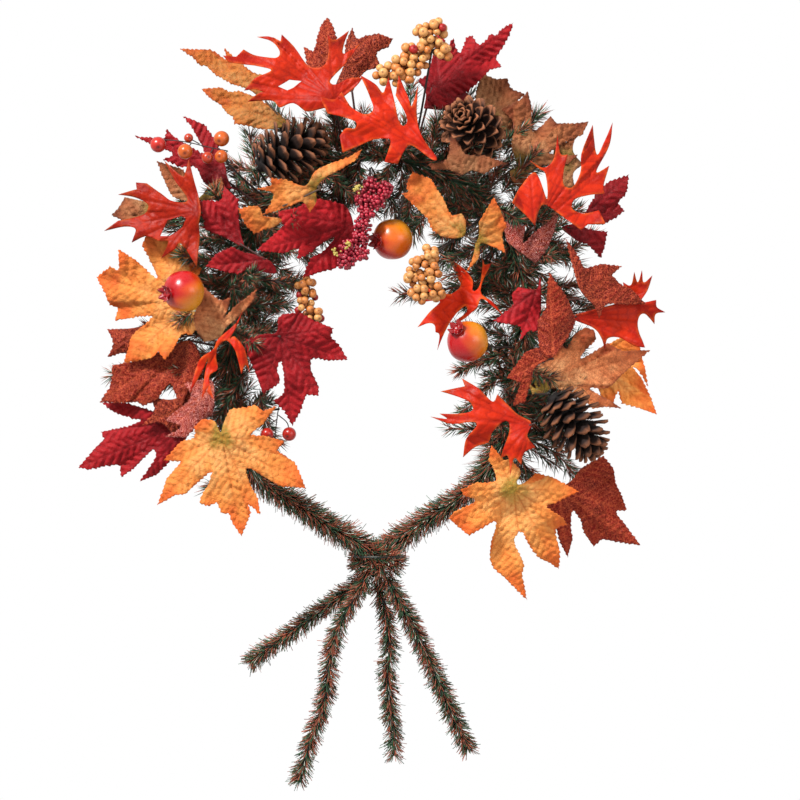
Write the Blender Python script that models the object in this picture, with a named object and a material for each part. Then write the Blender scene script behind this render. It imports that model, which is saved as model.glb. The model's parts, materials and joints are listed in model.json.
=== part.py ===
"""Harvest door wreath: an open teardrop of pine garland on a wire hoop, dressed with wired leaf
picks, pinecones, pomegranates and berries, with four pine tails below the crossing.

Metres, +Z up, the front faces -Y. The origin is where a door hook carries the hanging eye."""

import math

import bmesh
import bpy
from mathutils import Vector

# ---- driving dimensions -------------------------------------------------------------------
RING_RADIUS = 0.148  # centreline of the arch
HOOP_WIRE_RADIUS = 0.0025
GARLAND_RADIUS = 0.018  # packed pine round the hoop, without loose needle tips
ARM_RADIUS = 0.012
TAIL_RADIUS = 0.009
TAIL_ROOT_RADIUS = 0.005
TAIL_TAPER = 0.15  # gain in radius per metre from the tail's root, up to the full radius
TAIL_PLANE = 0.010  # how far the tails lie in front of or behind the hoop, turn about
ARM_PLANE = ARM_RADIUS + 0.0015  # the same for the two arms where they cross
BORE_CLEARANCE = 0.0005  # pine sleeve to hoop wire
TOUCH_GAP = 0.0005  # between pieces that rest on each other

HANGER_GAP = 0.014  # bare hoop at the top, for the hanging eye
HANGER_WIRE = 0.0012  # radius of its wire
SHANK_RADIUS = 1.05 * HANGER_WIRE  # where its wire is twisted, between collar and eye
COLLAR_RADIUS = 0.0050  # ring of the hanger that turns on the hoop
EYE_RADIUS = 0.013  # ring that the door hook carries
EYE_BACK = 0.027  # from the hoop back to the eye

LEAF_THICKNESS = 0.001
LAYER_STEP = 0.012
FIRST_LAYER = 0.008  # from the garland's front to the first layer of leaves
DOME_DEPTH = 0.045  # how far the leaves fall back, far from the garland
DOME_REACH = 0.12
STEM_RADIUS = 0.0011
STEM_NOTCH = 0.0009  # room that a leaf leaves round another pick's stem
STEM_SPREAD = 0.6  # how far off the hoop's line a stem may land, as a share of the garland

CONE_RADIUS = 0.034
CONE_LENGTH = 0.078
CONE_ROWS = 7  # stepped rows of scales
CONE_SWELL = (0.16, 0.96)  # stem end and tip of the cone, on the half circle of its swelling
CONE_FULLNESS = 0.7  # power of the swelling: less is fuller
CONE_STEP = 0.86  # back of a row against its front, in radius
CONE_ROW_HALF = 0.35  # half height of a row, as a share of the distance between rows
POMEGRANATE_RADIUS = 0.0205
CROWN_PROFILE = [(1.18, 0.34), (1.10, 0.20), (1.05, 0.0)]  # height and radius, in fruit radii
CROWN_LEAN = (0.75, 0.66)  # shares of the crown's axis along its heading and to the front
PEACH_BERRY = 0.0072  # radius of one lump of berries
SPRAY_BERRY = 0.0075
PEPPER_BERRY = 0.0085
TWIG_RADIUS = 0.0011
TWIG_REACH = 1.7  # berries further apart than this many radii are joined by a twig

EYE_INNER = EYE_RADIUS - HANGER_WIRE
EYE_RISE = COLLAR_RADIUS + HANGER_WIRE + EYE_RADIUS  # eye's centre above the hoop
HOOP_Y = -EYE_BACK
RING_TOP = -(EYE_RISE + EYE_INNER)  # hoop's height where the eye sits on the hook
CENTRE = Vector((0.0, HOOP_Y, RING_TOP - RING_RADIUS))

# The hoop's legs below the arch: share of the ring radius to the side, depth below its centre.
LEFT_LEG = [(-1.01, 0.045), (-1.01, 0.090), (-0.96, 0.137), (-0.83, 0.175), (-0.53, 0.205),
            (-0.34, 0.224), (-0.15, 0.240), (0.03, 0.262)]
RIGHT_LEG = [(1.00, 0.045), (0.99, 0.080), (0.93, 0.117), (0.76, 0.167), (0.62, 0.189),
             (0.44, 0.208), (0.27, 0.225), (0.10, 0.243), (-0.08, 0.263)]
LEG_SLEEVE_POINTS = 4  # leg points under the thick garland, before the bare arm begins
KNOT_DROP = 0.255  # crossing of the arms, below the ring's centre
KNOT_X = -0.001
KNOT_ACROSS = 0.9 * ARM_RADIUS + 0.101 * RING_RADIUS  # half width of the tie wire's oval
KNOT_DEEP = ARM_PLANE + ARM_RADIUS + 4 * HANGER_WIRE  # half depth

# Base colour, roughness and metallic value of each finish.
COLOURS = {
    "wire": ((0.05, 0.05, 0.05), 0.4, 0.9),
    "pine": ((0.03, 0.09, 0.05), 0.7, 0.0),
    "oak": ((0.78, 0.10, 0.02), 0.6, 0.0),
    "orange": ((0.83, 0.30, 0.07), 0.7, 0.0),
    "crimson": ((0.42, 0.02, 0.03), 0.65, 0.0),
    "burgundy": ((0.26, 0.03, 0.02), 0.7, 0.0),
    "tan": ((0.45, 0.20, 0.10), 0.75, 0.0),
    "cone": ((0.10, 0.05, 0.03), 0.8, 0.0),
    "pomegranate": ((0.80, 0.25, 0.03), 0.25, 0.0),
    "peach": ((0.85, 0.42, 0.15), 0.4, 0.0),
    "berry": ((0.75, 0.12, 0.02), 0.2, 0.0),
    "pepper": ((0.45, 0.01, 0.06), 0.4, 0.0),
}

# Half outlines of the leaf kinds, in shares of the length: along the midrib, to the side.
OAK_HALF = [(-0.03, 0.02), (0.20, 0.12), (0.24, 0.40), (0.38, 0.42), (0.36, 0.10), (0.46, 0.10),
            (0.60, 0.46), (0.76, 0.42), (0.66, 0.11), (0.84, 0.17)]
OAK_SLIM_HALF = [(-0.04, 0.03), (0.25, 0.20), (0.55, 0.30), (0.70, 0.45), (0.74, 0.20)]
BLADE_HALF = [(-0.04, 0.03), (0.15, 0.28), (0.40, 0.50), (0.62, 0.38), (0.80, 0.22)]


def maple_half():
    """Five lobes with one tooth on each side, as (angle from the midrib, reach)."""
    lobes = [(140, 0.18), (100, 0.55), (72, 0.32), (60, 0.62), (45, 0.86), (33, 0.62),
             (20, 0.42), (15, 0.74)]
    half = [(r * math.cos(math.radians(a)), r * math.sin(math.radians(a))) for a, r in lobes]
    return [(-0.04, 0.025)] + half


OUTLINES = {"oak": OAK_HALF, "slim": OAK_SLIM_HALF, "blade": BLADE_HALF, "maple": maple_half()}

# Leaf picks: name, finish, layer, then each blade as
# (outline, clock degrees round the ring, outwards from its centreline, heading, length, width).
LEAF_PICKS = [
    ("oak_leaf_top_left", "oak", 5, [("oak", -12, 0.057, -67, 0.122, 0.88)]),
    ("oak_leaf_top", "oak", 6, [("oak", 22, 0.006, -62, 0.130, 0.90)]),
    ("oak_leaf_left", "oak", 4, [("oak", -63, 0.052, -96, 0.093, 1.25)]),
    ("oak_leaf_right_top", "oak", 5, [("oak", 65, 0.022, 34, 0.128, 0.95)]),
    ("oak_leaf_inner_right", "oak", 2, [("oak", 95, -0.022, -79, 0.093, 1.10)]),
    ("oak_leaf_right", "oak", 3, [("oak", 94, 0.050, 82, 0.092, 1.00)]),
    ("oak_leaf_lower_right", "oak", 6, [("oak", 129, 0.045, -77, 0.098, 1.10)]),
    ("oak_leaf_folded_left", "oak", 6, [("slim", -98, -0.007, -158, 0.084, 0.80)]),
    ("maple_leaf_left", "orange", 2, [("maple", -90, 0.036, -76, 0.099, 1.10)]),
    ("maple_leaf_lower_left", "orange", 5, [("maple", -131, 0.056, 168, 0.099, 1.20)]),
    ("maple_leaf_lower_right", "orange", 5, [("maple", 144, 0.080, 174, 0.111, 0.95)]),
    ("maple_leaf_far_right", "orange", -1, [("maple", 105, 0.078, 131, 0.080, 1.00)]),
    ("maple_pair_top_left", "orange", 0, [("blade", -29, 0.087, -57, 0.104, 0.50),
                                          ("blade", -27, 0.054, -65, 0.095, 0.50)]),
    ("maple_pair_top", "orange", 6, [("maple", -27, -0.024, -97, 0.062, 1.00),
                                     ("blade", -45, -0.016, -163, 0.050, 0.70)]),
    ("maple_pair_curled", "orange", 5, [("blade", 53, -0.040, -44, 0.084, 0.50),
                                        ("blade", 58, -0.034, 14, 0.042, 0.60)]),
    ("crimson_leaf_top_right", "crimson", 1, [("maple", 14, 0.076, 43, 0.102, 0.70)]),
    ("crimson_leaf_inner_top", "crimson", 3, [("maple", -20, -0.066, -106, 0.096, 0.90)]),
    ("crimson_leaf_inner_left", "crimson", 3, [("maple", -109, -0.045, 170, 0.092, 1.10)]),
    ("crimson_leaf_lower_left", "crimson", 0, [("maple", -122, 0.070, -113, 0.124, 0.80)]),
    ("crimson_pair_left", "crimson", 3, [("blade", -67, 0.000, -42, 0.076, 0.60),
                                         ("blade", -69, -0.028, -95, 0.068, 0.45)]),
    ("crimson_leaf_far_left", "crimson", 1, [("maple", -51, 0.052, -61, 0.096, 0.70)]),
    ("crimson_pair_right", "crimson", 1, [("blade", 68, 0.065, 49, 0.075, 0.60),
                                          ("blade", 68, 0.054, 118, 0.048, 0.80)]),
    ("crimson_leaf_small", "crimson", 4, [("maple", 86, 0.009, -127, 0.054, 1.00)]),
    ("burgundy_leaf_top", "burgundy", 1, [("blade", -14, 0.072, 2, 0.076, 0.50)]),
    ("burgundy_leaf_crown", "burgundy", 1, [("blade", -7, 0.068, 40, 0.070, 0.70)]),
    ("burgundy_leaf_left", "burgundy", 1, [("maple", -101, 0.046, -126, 0.107, 0.90)]),
    ("burgundy_leaf_turned", "burgundy", 2, [("blade", -117, 0.034, -129, 0.065, 0.80)]),
    ("burgundy_leaf_right", "burgundy", 4, [("maple", 89, 0.054, 100, 0.067, 1.00)]),
    ("burgundy_pair_tall", "burgundy", 5, [("blade", 108, 0.034, -3, 0.086, 0.55),
                                           ("blade", 108, 0.030, -141, 0.060, 0.55)]),
    ("burgundy_leaf_inner", "burgundy", 3, [("maple", 76, -0.002, 33, 0.064, 0.90)]),
    ("burgundy_leaf_lower_right", "burgundy", 2, [("maple", 136, 0.112, 126, 0.102, 0.90)]),
    ("brown_leaf_curled", "tan", 5, [("blade", 38, -0.004, -10, 0.040, 0.80)]),
    ("tan_leaf_top_right", "tan", 0, [("maple", 45, 0.052, 38, 0.082, 1.00)]),
    ("tan_leaf_right", "tan", 0, [("maple", 117, 0.034, 73, 0.119, 0.75)]),
    ("tan_leaf_folded", "tan", 4, [("blade", -105, 0.000, -4, 0.056, 0.70)]),
    ("tan_leaf_far_left", "tan", 2, [("blade", -60, 0.052, -41, 0.073, 0.60)]),
]

# Pinecones: name, clock and outwards of the stem end, heading, lean to the front, forward of
# the garland.
PINECONES = [
    ("pinecone_top_left", -42, 0.034, 64, 0, 0.030),
    ("pinecone_top_right", 33, 0.044, -45, 65, 0.008),
    ("pinecone_right", 118, 0.046, 142, 5, 0.046),
]
# Pomegranates: name, clock, outwards, forward of the garland, heading of the crown.
POMEGRANATES = [
    ("pomegranate_left", -87, 0.043, 0.074, -99),
    ("pomegranate_top", 13, -0.083, 0.032, -98),
    ("pomegranate_right", 114, -0.051, 0.070, -41),
]


def clear_scene():
    for obj in list(bpy.data.objects):
        bpy.data.objects.remove(obj)


def material(name):
    colour, rough, metal = COLOURS[name]
    found = bpy.data.materials.get(name)
    if found:
        return found
    made = bpy.data.materials.new(name)
    made.use_nodes = True
    shader = made.node_tree.nodes["Principled BSDF"]
    shader.inputs["Base Color"].default_value = (*colour, 1)
    shader.inputs["Roughness"].default_value = rough
    shader.inputs["Metallic"].default_value = metal
    return made


def add(name, bm, finish, at=(0, 0, 0), smooth=True):
    """One object from a bmesh whose points are measured from its origin."""
    bmesh.ops.recalc_face_normals(bm, faces=bm.faces)
    mesh = bpy.data.meshes.new(name)
    bm.to_mesh(mesh)
    bm.free()
    if smooth:
        mesh.shade_smooth()
        mesh.set_sharp_from_angle(angle=math.radians(40))
    mesh.materials.append(material(finish))
    obj = bpy.data.objects.new(name, mesh)
    obj.location = at
    bpy.context.collection.objects.link(obj)
    return obj


def helper(obj):
    obj.hide_render = True
    obj.display_type = "WIRE"
    return obj


def boolean(obj, other, operation):
    modifier = obj.modifiers.new(operation.lower(), "BOOLEAN")
    modifier.operation = operation
    modifier.object = other


# ---- places -------------------------------------------------------------------------------
def on_ring(clock, outwards):
    """A point from the ring's centre: degrees clockwise from the top, distance past the hoop."""
    reach = RING_RADIUS + outwards
    turn = math.radians(clock)
    return Vector((reach * math.sin(turn), 0, reach * math.cos(turn))) + CENTRE


def towards(heading):
    turn = math.radians(heading)
    return Vector((math.sin(turn), 0, math.cos(turn)))


def smooth_path(points, steps):
    """Catmull-Rom curve through the points, with this many steps between two of them."""
    ends = [2 * points[0] - points[1], *points, 2 * points[-1] - points[-2]]
    path = []
    for a, b, c, d in zip(ends, ends[1:], ends[2:], ends[3:]):
        for i in range(steps):
            t = i / steps
            path.append(0.5 * (2 * b + (c - a) * t + (2 * a - 5 * b + 4 * c - d) * t * t
                               + (3 * b - a - 3 * c + d) * t * t * t))
    return path + [points[-1]]


def leg(points, plane):
    """A leg's points. From the bare arm on, it comes forward or goes back to its plane."""
    made = []
    for i, (side, drop) in enumerate(points):
        share = max(0, i + 1 - LEG_SLEEVE_POINTS) / (len(points) - LEG_SLEEVE_POINTS)
        made.append(CENTRE + Vector((side * RING_RADIUS, plane * share, -drop)))
    return made


def arch(first, last, step=10):
    count = max(1, round(abs(last - first) / step))
    return [on_ring(first + (last - first) * i / count, 0) for i in range(count + 1)]


PATH_STEPS = 2
HOOP_PATH = smooth_path(leg(LEFT_LEG, -ARM_PLANE)[::-1] + arch(-90, 90) + leg(RIGHT_LEG, ARM_PLANE),
                        PATH_STEPS)


def nearest_on_hoop(point):
    flat = Vector((point.x, 0, point.z))
    return min(HOOP_PATH, key=lambda p: (Vector((p.x, 0, p.z)) - flat).length)


def dome(point):
    """How far back the dressing falls at this point, by its distance from the garland."""
    near = nearest_on_hoop(point)
    square = (point.x - near.x) ** 2 + (point.z - near.z) ** 2
    return DOME_DEPTH * square / (square + DOME_REACH**2)


def layer_y(layer):
    return HOOP_Y - GARLAND_RADIUS - FIRST_LAYER - layer * LAYER_STEP


def stem_foot(point):
    """Where a stem that starts at this point meets the garland's front."""
    near = nearest_on_hoop(point)
    aside = Vector((point.x - near.x, 0, point.z - near.z))
    reach = min(aside.length, STEM_SPREAD * GARLAND_RADIUS)
    if aside.length > 0:
        aside = aside.normalized() * reach
    surface = math.sqrt((GARLAND_RADIUS + STEM_RADIUS + TOUCH_GAP) ** 2 - reach**2)
    return Vector((near.x, HOOP_Y - surface, near.z)) + aside


# ---- shapes -------------------------------------------------------------------------------
def ring_frame(path, i):
    along = (path[min(i + 1, len(path) - 1)] - path[max(i - 1, 0)]).normalized()
    side = along.orthogonal() if abs(along.y) > 0.9 else along.cross(Vector((0, 1, 0)))
    side.normalize()
    return side, along.cross(side).normalized()


def ring_of(bm, path, i, radius, sides, shift=0.0):
    """A ring of corners about the path's point, moved along the path by the shift."""
    side, up = ring_frame(path, i)
    centre = path[i] + shift * side.cross(up)
    turns = [2 * math.pi * k / sides for k in range(sides)]
    return [bm.verts.new(centre + radius * (side * math.cos(t) + up * math.sin(t)))
            for t in turns]


def bridge(bm, first, second):
    count = len(first)
    for k in range(count):
        bm.faces.new((first[k], first[(k + 1) % count], second[(k + 1) % count], second[k]))


def tube(bm, path, radii, sides=8):
    """A solid rod along the path, with a radius for each of its points."""
    rings = [ring_of(bm, path, i, radii[i], sides) for i in range(len(path))]
    for first, second in zip(rings, rings[1:]):
        bridge(bm, first, second)
    bm.faces.new(rings[0])
    bm.faces.new(rings[-1])


def sleeve(bm, path, span, shift, outer, bore, sides=8):
    """A tube with a bore along part of the path. The shift moves its first end."""
    shifts = [shift] + [0.0] * (len(span) - 1)
    outside = [ring_of(bm, path, i, outer, sides, s) for i, s in zip(span, shifts)]
    inside = [ring_of(bm, path, i, bore, sides, s) for i, s in zip(span, shifts)]
    for rings in (outside, inside):
        for first, second in zip(rings, rings[1:]):
            bridge(bm, first, second)
    bridge(bm, outside[0], inside[0])
    bridge(bm, outside[-1], inside[-1])


def rod(name, start, end, radius, finish, sides=5):
    bm = bmesh.new()
    tube(bm, [Vector(), end - start], [radius, radius], sides)
    return add(name, bm, finish, start)


def wire_ring(name, centre, across, up, wire, finish, segments=16, sides=6):
    """A closed wire round the oval of these two half axes."""
    bm = bmesh.new()
    axis = across.cross(up).normalized()
    rings = []
    for i in range(segments):
        turn = 2 * math.pi * i / segments
        at = across * math.cos(turn) + up * math.sin(turn)
        out = (across.normalized() * math.cos(turn) + up.normalized() * math.sin(turn))
        angles = [2 * math.pi * k / sides for k in range(sides)]
        rings.append([bm.verts.new(at + wire * (out * math.cos(a) + axis * math.sin(a)))
                      for a in angles])
    for i in range(segments):
        bridge(bm, rings[i - 1], rings[i])
    return add(name, bm, finish, centre)


def turned(name, profile, axis, at, finish, sides=12):
    """A closed shape turned about an axis. The profile runs (height, radius), ends on the axis."""
    bm = bmesh.new()
    side = axis.orthogonal().normalized()
    up = axis.cross(side).normalized()
    rings = []
    for height, radius in profile[1:-1]:
        turns = [2 * math.pi * k / sides for k in range(sides)]
        rings.append([bm.verts.new(axis * height + radius * (side * math.cos(t) + up * math.sin(t)))
                      for t in turns])
    for first, second in zip(rings, rings[1:]):
        bridge(bm, first, second)
    for ring, height in ((rings[0], profile[0][0]), (rings[-1], profile[-1][0])):
        pole = bm.verts.new(axis * height)
        for k in range(sides):
            bm.faces.new((ring[k], ring[(k + 1) % sides], pole))
    return add(name, bm, finish, at)


def ball(name, centre, radius, finish, fineness):
    bm = bmesh.new()
    bmesh.ops.create_icosphere(bm, subdivisions=fineness, radius=radius)
    return add(name, bm, finish, centre)


# ---- frame and pine -----------------------------------------------------------------------
def make_hoop():
    bm = bmesh.new()
    tube(bm, HOOP_PATH, [HOOP_WIRE_RADIUS] * len(HOOP_PATH), 6)
    add("frame_hoop", bm, "wire")


def make_hanger():
    hoop_top = Vector((0, HOOP_Y, RING_TOP))
    ahead, up, side = Vector((0, 1, 0)), Vector((0, 0, 1)), Vector((1, 0, 0))
    collar = wire_ring("hanging_eye", hoop_top, COLLAR_RADIUS * ahead, COLLAR_RADIUS * up,
                       HANGER_WIRE, "wire")
    eye_centre = Vector((0, 0, -EYE_INNER))
    eye = wire_ring("eye_ring", eye_centre, EYE_RADIUS * side, EYE_RADIUS * up, HANGER_WIRE,
                    "wire", 24)
    shank = rod("eye_shank", hoop_top + COLLAR_RADIUS * up, eye_centre - EYE_RADIUS * up,
                SHANK_RADIUS, "wire")
    boolean(collar, helper(shank), "UNION")
    boolean(collar, helper(eye), "UNION")


def make_sleeves():
    """Thick pine over the arch and legs, then a bare arm on each leg, all round the hoop."""
    sides = 8
    bore = (HOOP_WIRE_RADIUS + BORE_CLEARANCE) / math.cos(math.pi / sides)
    top = len(HOOP_PATH) // 2 + PATH_STEPS * (len(LEFT_LEG) - len(RIGHT_LEG)) // 2
    legs = (("left", -1, 0, len(LEFT_LEG)), ("right", 1, len(HOOP_PATH) - 1, len(RIGHT_LEG)))
    for side, sign, end, count in legs:
        joint = end - sign * PATH_STEPS * (count - LEG_SLEEVE_POINTS)
        thick = range(top, joint + sign, sign)
        bm = bmesh.new()
        sleeve(bm, HOOP_PATH, thick, sign * HANGER_GAP / 2, GARLAND_RADIUS, bore, sides)
        add(f"pine_garland_{side}", bm, "pine")
        bm = bmesh.new()
        bare = range(joint, end + sign, sign)
        sleeve(bm, HOOP_PATH, bare, sign * 2 * TOUCH_GAP, ARM_RADIUS, bore, sides)
        add(f"pine_arm_{side}", bm, "pine")


def make_knot():
    """The tie wire round the crossing: an oval that clears both arms."""
    centre = CENTRE + Vector((KNOT_X, 0, -KNOT_DROP))
    wire_ring("tie_wire", centre, Vector((KNOT_ACROSS, 0, 0)), Vector((0, KNOT_DEEP, 0)),
              HANGER_WIRE, "wire", 24)


# Tails: name, plane sign, then points from the crossing: sideways, down.
TAILS = [
    ("pine_tail_far_left", 1, [(-0.020, 0.029), (-0.068, 0.064), (-0.129, 0.108)]),
    ("pine_tail_left", -1, [(-0.019, 0.036), (-0.043, 0.081), (-0.053, 0.145),
                            (-0.066, 0.181), (-0.079, 0.228)]),
    ("pine_tail_right", 1, [(0.002, 0.036), (0.009, 0.059), (0.013, 0.102), (0.010, 0.118),
                            (0.016, 0.181), (0.017, 0.204)]),
    ("pine_tail_far_right", -1, [(0.016, 0.034), (0.039, 0.077), (0.066, 0.136),
                                 (0.092, 0.195)]),
]


def make_tails():
    crossing = CENTRE + Vector((KNOT_X, 0, -KNOT_DROP))
    for name, sign, points in TAILS:
        root = crossing + Vector((points[0][0], sign * TAIL_PLANE, -points[0][1]))
        local = [Vector((x - points[0][0], 0, points[0][1] - drop)) for x, drop in points]
        path = smooth_path(local, 4)
        radii = [min(TAIL_RADIUS, TAIL_ROOT_RADIUS + p.length * TAIL_TAPER) for p in path]
        radii[-1] = TAIL_ROOT_RADIUS
        bm = bmesh.new()
        tube(bm, path, radii)
        add(name, bm, "pine", root)


# ---- leaf picks ---------------------------------------------------------------------------
STEMS = []


def blade_mesh(outline, heading, length, width, base):
    """A thin leaf plate, its midrib along the heading, that follows the dome."""
    half = [(along * length, side * length * width) for along, side in OUTLINES[outline]]
    rim = half + [(length, 0.0)] + [(along, -side) for along, side in reversed(half)]
    bm = bmesh.new()
    bm.faces.new([bm.verts.new((along, 0, side)) for along, side in rim])
    for point, normal in (((length / 2, 0, 0), (1, 0, 0)), ((0, 0, 0), (0, 0, 1))):
        parts = bm.verts[:] + bm.edges[:] + bm.faces[:]
        bmesh.ops.bisect_plane(bm, geom=parts, plane_co=point, plane_no=normal, dist=1e-6)
    bmesh.ops.triangulate(bm, faces=bm.faces)
    along, aside = towards(heading), towards(heading + 90)
    for vert in bm.verts:
        flat = along * vert.co.x + aside * vert.co.z
        vert.co = flat + Vector((0, dome(base + flat) - dome(base), 0))
    front = bmesh.ops.extrude_face_region(bm, geom=bm.faces[:])["geom"]
    bmesh.ops.translate(bm, verts=[g for g in front if isinstance(g, bmesh.types.BMVert)],
                        vec=(0, -LEAF_THICKNESS, 0))
    return bm


def wire_stem(piece, top):
    """A wire from inside the piece to the garland, and the cutter that leaves room round it."""
    foot = stem_foot(top)
    stem = rod(piece.name + "_stem", top, foot, STEM_RADIUS, "wire")
    boolean(piece, helper(stem), "UNION")
    back = top + (foot - top).normalized() * 3 * LEAF_THICKNESS
    cutter = rod(piece.name + "_notch", back, foot, STEM_RADIUS + STEM_NOTCH, "wire")
    STEMS.append((piece, helper(cutter)))


def make_pick(name, finish, layer, blades):
    """Blades on one wire stem, which starts at the first blade's foot."""
    outline, clock, outwards, heading, length, width = blades[0]
    base = on_ring(clock, outwards)
    base.y = layer_y(layer) + dome(base)
    pick = add(name, blade_mesh(outline, heading, length, width, base), finish, base, False)
    for i, (outline, clock, outwards, heading, length, width) in enumerate(blades[1:], 1):
        other = on_ring(clock, outwards)
        other.y = layer_y(layer) + dome(other) + 0.3 * LEAF_THICKNESS * i
        bm = blade_mesh(outline, heading, length, width, other)
        second = add(f"{name}_blade_{i}", bm, finish, other, False)
        inside = Vector((0, -LEAF_THICKNESS / 2, 0))
        petiole = rod(f"{name}_petiole_{i}", base + inside, other + inside, STEM_RADIUS, "wire")
        boolean(pick, helper(second), "UNION")
        boolean(pick, helper(petiole), "UNION")
    wire_stem(pick, base + Vector((0, -LEAF_THICKNESS / 2, 0)))
    return pick


def box_of(obj):
    points = [obj.location + Vector(corner) for corner in obj.bound_box]
    return [(min(p[k] for p in points), max(p[k] for p in points)) for k in range(3)]


def boxes_meet(a, b):
    return all(low_a <= high_b and low_b <= high_a
               for (low_a, high_a), (low_b, high_b) in zip(box_of(a), box_of(b)))


def notch_leaves(picks):
    """Every stem has room where it passes the leaves of other picks."""
    for piece, cutter in STEMS:
        for pick in picks:
            if pick != piece and boxes_meet(pick, cutter):
                boolean(pick, cutter, "DIFFERENCE")


# ---- cones, fruit and berries -------------------------------------------------------------
def make_pinecones():
    for name, clock, outwards, heading, lean, forward in PINECONES:
        at = on_ring(clock, outwards)
        at.y = HOOP_Y - GARLAND_RADIUS - forward
        row = CONE_LENGTH / CONE_ROWS
        first, last = CONE_SWELL
        profile = [(0, 0)]
        for i in range(CONE_ROWS):
            share = (i + 0.5) / CONE_ROWS
            swell = math.sin(math.pi * (first + (last - first) * share)) ** CONE_FULLNESS
            for side, step in ((-1, CONE_STEP), (1, 1)):
                height = CONE_LENGTH * share + side * CONE_ROW_HALF * row
                profile.append((height, CONE_RADIUS * swell * step))
        profile.append((CONE_LENGTH, 0))
        turn = math.radians(lean)
        axis = towards(heading) * math.cos(turn) + Vector((0, -math.sin(turn), 0))
        cone = turned(name, profile, axis, at, "cone")
        wire_stem(cone, at + axis * 2 * TOUCH_GAP)


def make_pomegranates():
    r = POMEGRANATE_RADIUS
    turns = [math.radians(a) for a in range(20, 170, 15)]
    sideways, ahead = CROWN_LEAN
    for name, clock, outwards, forward, heading in POMEGRANATES:
        at = on_ring(clock, outwards)
        at.y = HOOP_Y - GARLAND_RADIUS - forward
        axis = (towards(heading) * sideways + Vector((0, -ahead, 0))).normalized()
        profile = [(-r, 0)] + [(-r * math.cos(t), r * math.sin(t)) for t in turns]
        profile += [(height * r, radius * r) for height, radius in CROWN_PROFILE]
        fruit = turned(name, profile, axis, at, "pomegranate", 16)
        wire_stem(fruit, at)


def make_cluster(name, finish, root, forward, berries, radius, fineness=1, from_first=False):
    """Berries, sideways and upwards from the root. The wire stem starts at the first one, and
    twigs join each berry to the one before it, or to the first."""
    first = Vector((berries[0][0], 0, berries[0][1]))
    at = on_ring(*root) + first
    at.y = HOOP_Y - GARLAND_RADIUS - forward
    centres = [Vector((x, 0, z)) - first for x, z in berries]
    bm = bmesh.new()
    bmesh.ops.create_icosphere(bm, subdivisions=fineness, radius=radius)
    cluster = add(name, bm, finish, at)
    for i in range(1, len(centres)):
        piece = ball(f"{name}_berry_{i}", at + centres[i], radius, finish, fineness)
        boolean(cluster, helper(piece), "UNION")
        start = centres[0] if from_first else centres[i - 1]
        if (centres[i] - start).length > TWIG_REACH * radius:
            twig = rod(f"{name}_twig_{i}", at + start, at + centres[i], TWIG_RADIUS, finish)
            boolean(cluster, helper(twig), "UNION")
    wire_stem(cluster, at)


def make_berries():
    make_cluster("peach_berries_top", "peach", (12, 0.117), 0.052,
                 [(0.000, 0.000), (0.004, 0.011), (-0.009, 0.008), (-0.010, -0.007),
                  (-0.021, -0.012), (-0.031, -0.022), (-0.024, -0.031), (-0.036, -0.035),
                  (-0.013, -0.021), (-0.048, -0.033), (0.008, -0.010)], PEACH_BERRY)
    make_cluster("peach_berries_inner_right", "peach", (52, -0.090), 0.056,
                 [(0.006, 0.010), (-0.004, 0.001), (0.008, -0.003), (-0.009, -0.011),
                  (0.003, -0.015), (-0.004, -0.026), (0.010, -0.026)], PEACH_BERRY)
    make_cluster("peach_berries_inner_left", "peach", (-82, -0.075), 0.018,
                 [(0.000, 0.007), (0.002, -0.004), (0.000, -0.014), (0.010, -0.022)],
                 PEACH_BERRY)
    make_cluster("orange_berry_spray", "berry", (-47, 0.065), 0.040,
                 [(0.000, 0.000), (-0.020, 0.003), (-0.014, 0.018), (-0.034, -0.001),
                  (-0.048, 0.006), (-0.065, 0.010)], SPRAY_BERRY, 2)
    make_cluster("red_berry_sprig", "berry", (-137, -0.003), 0.022,
                 [(0.000, 0.000), (-0.009, -0.017), (0.014, -0.017)], SPRAY_BERRY * 0.9, 2, True)
    make_cluster("pepper_berries", "pepper", (-4, -0.045), 0.058,
                 [(0.000, 0.012), (0.014, 0.008), (-0.008, 0.000), (0.006, -0.003),
                  (-0.004, -0.014), (-0.008, -0.027), (-0.010, -0.040), (-0.022, -0.050),
                  (-0.010, -0.054), (-0.024, -0.062)], PEPPER_BERRY)


clear_scene()
make_hoop()
make_hanger()
make_sleeves()
make_knot()
make_tails()
leaf_picks = [make_pick(*row) for row in LEAF_PICKS]
make_pinecones()
make_pomegranates()
make_berries()
notch_leaves(leaf_picks)
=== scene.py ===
"""Looks of the harvest door wreath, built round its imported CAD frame. Metres, +Z up, front -Y."""

import json
import math

import bpy
import numpy as np
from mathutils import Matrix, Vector
from mathutils.geometry import delaunay_2d_cdt

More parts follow.
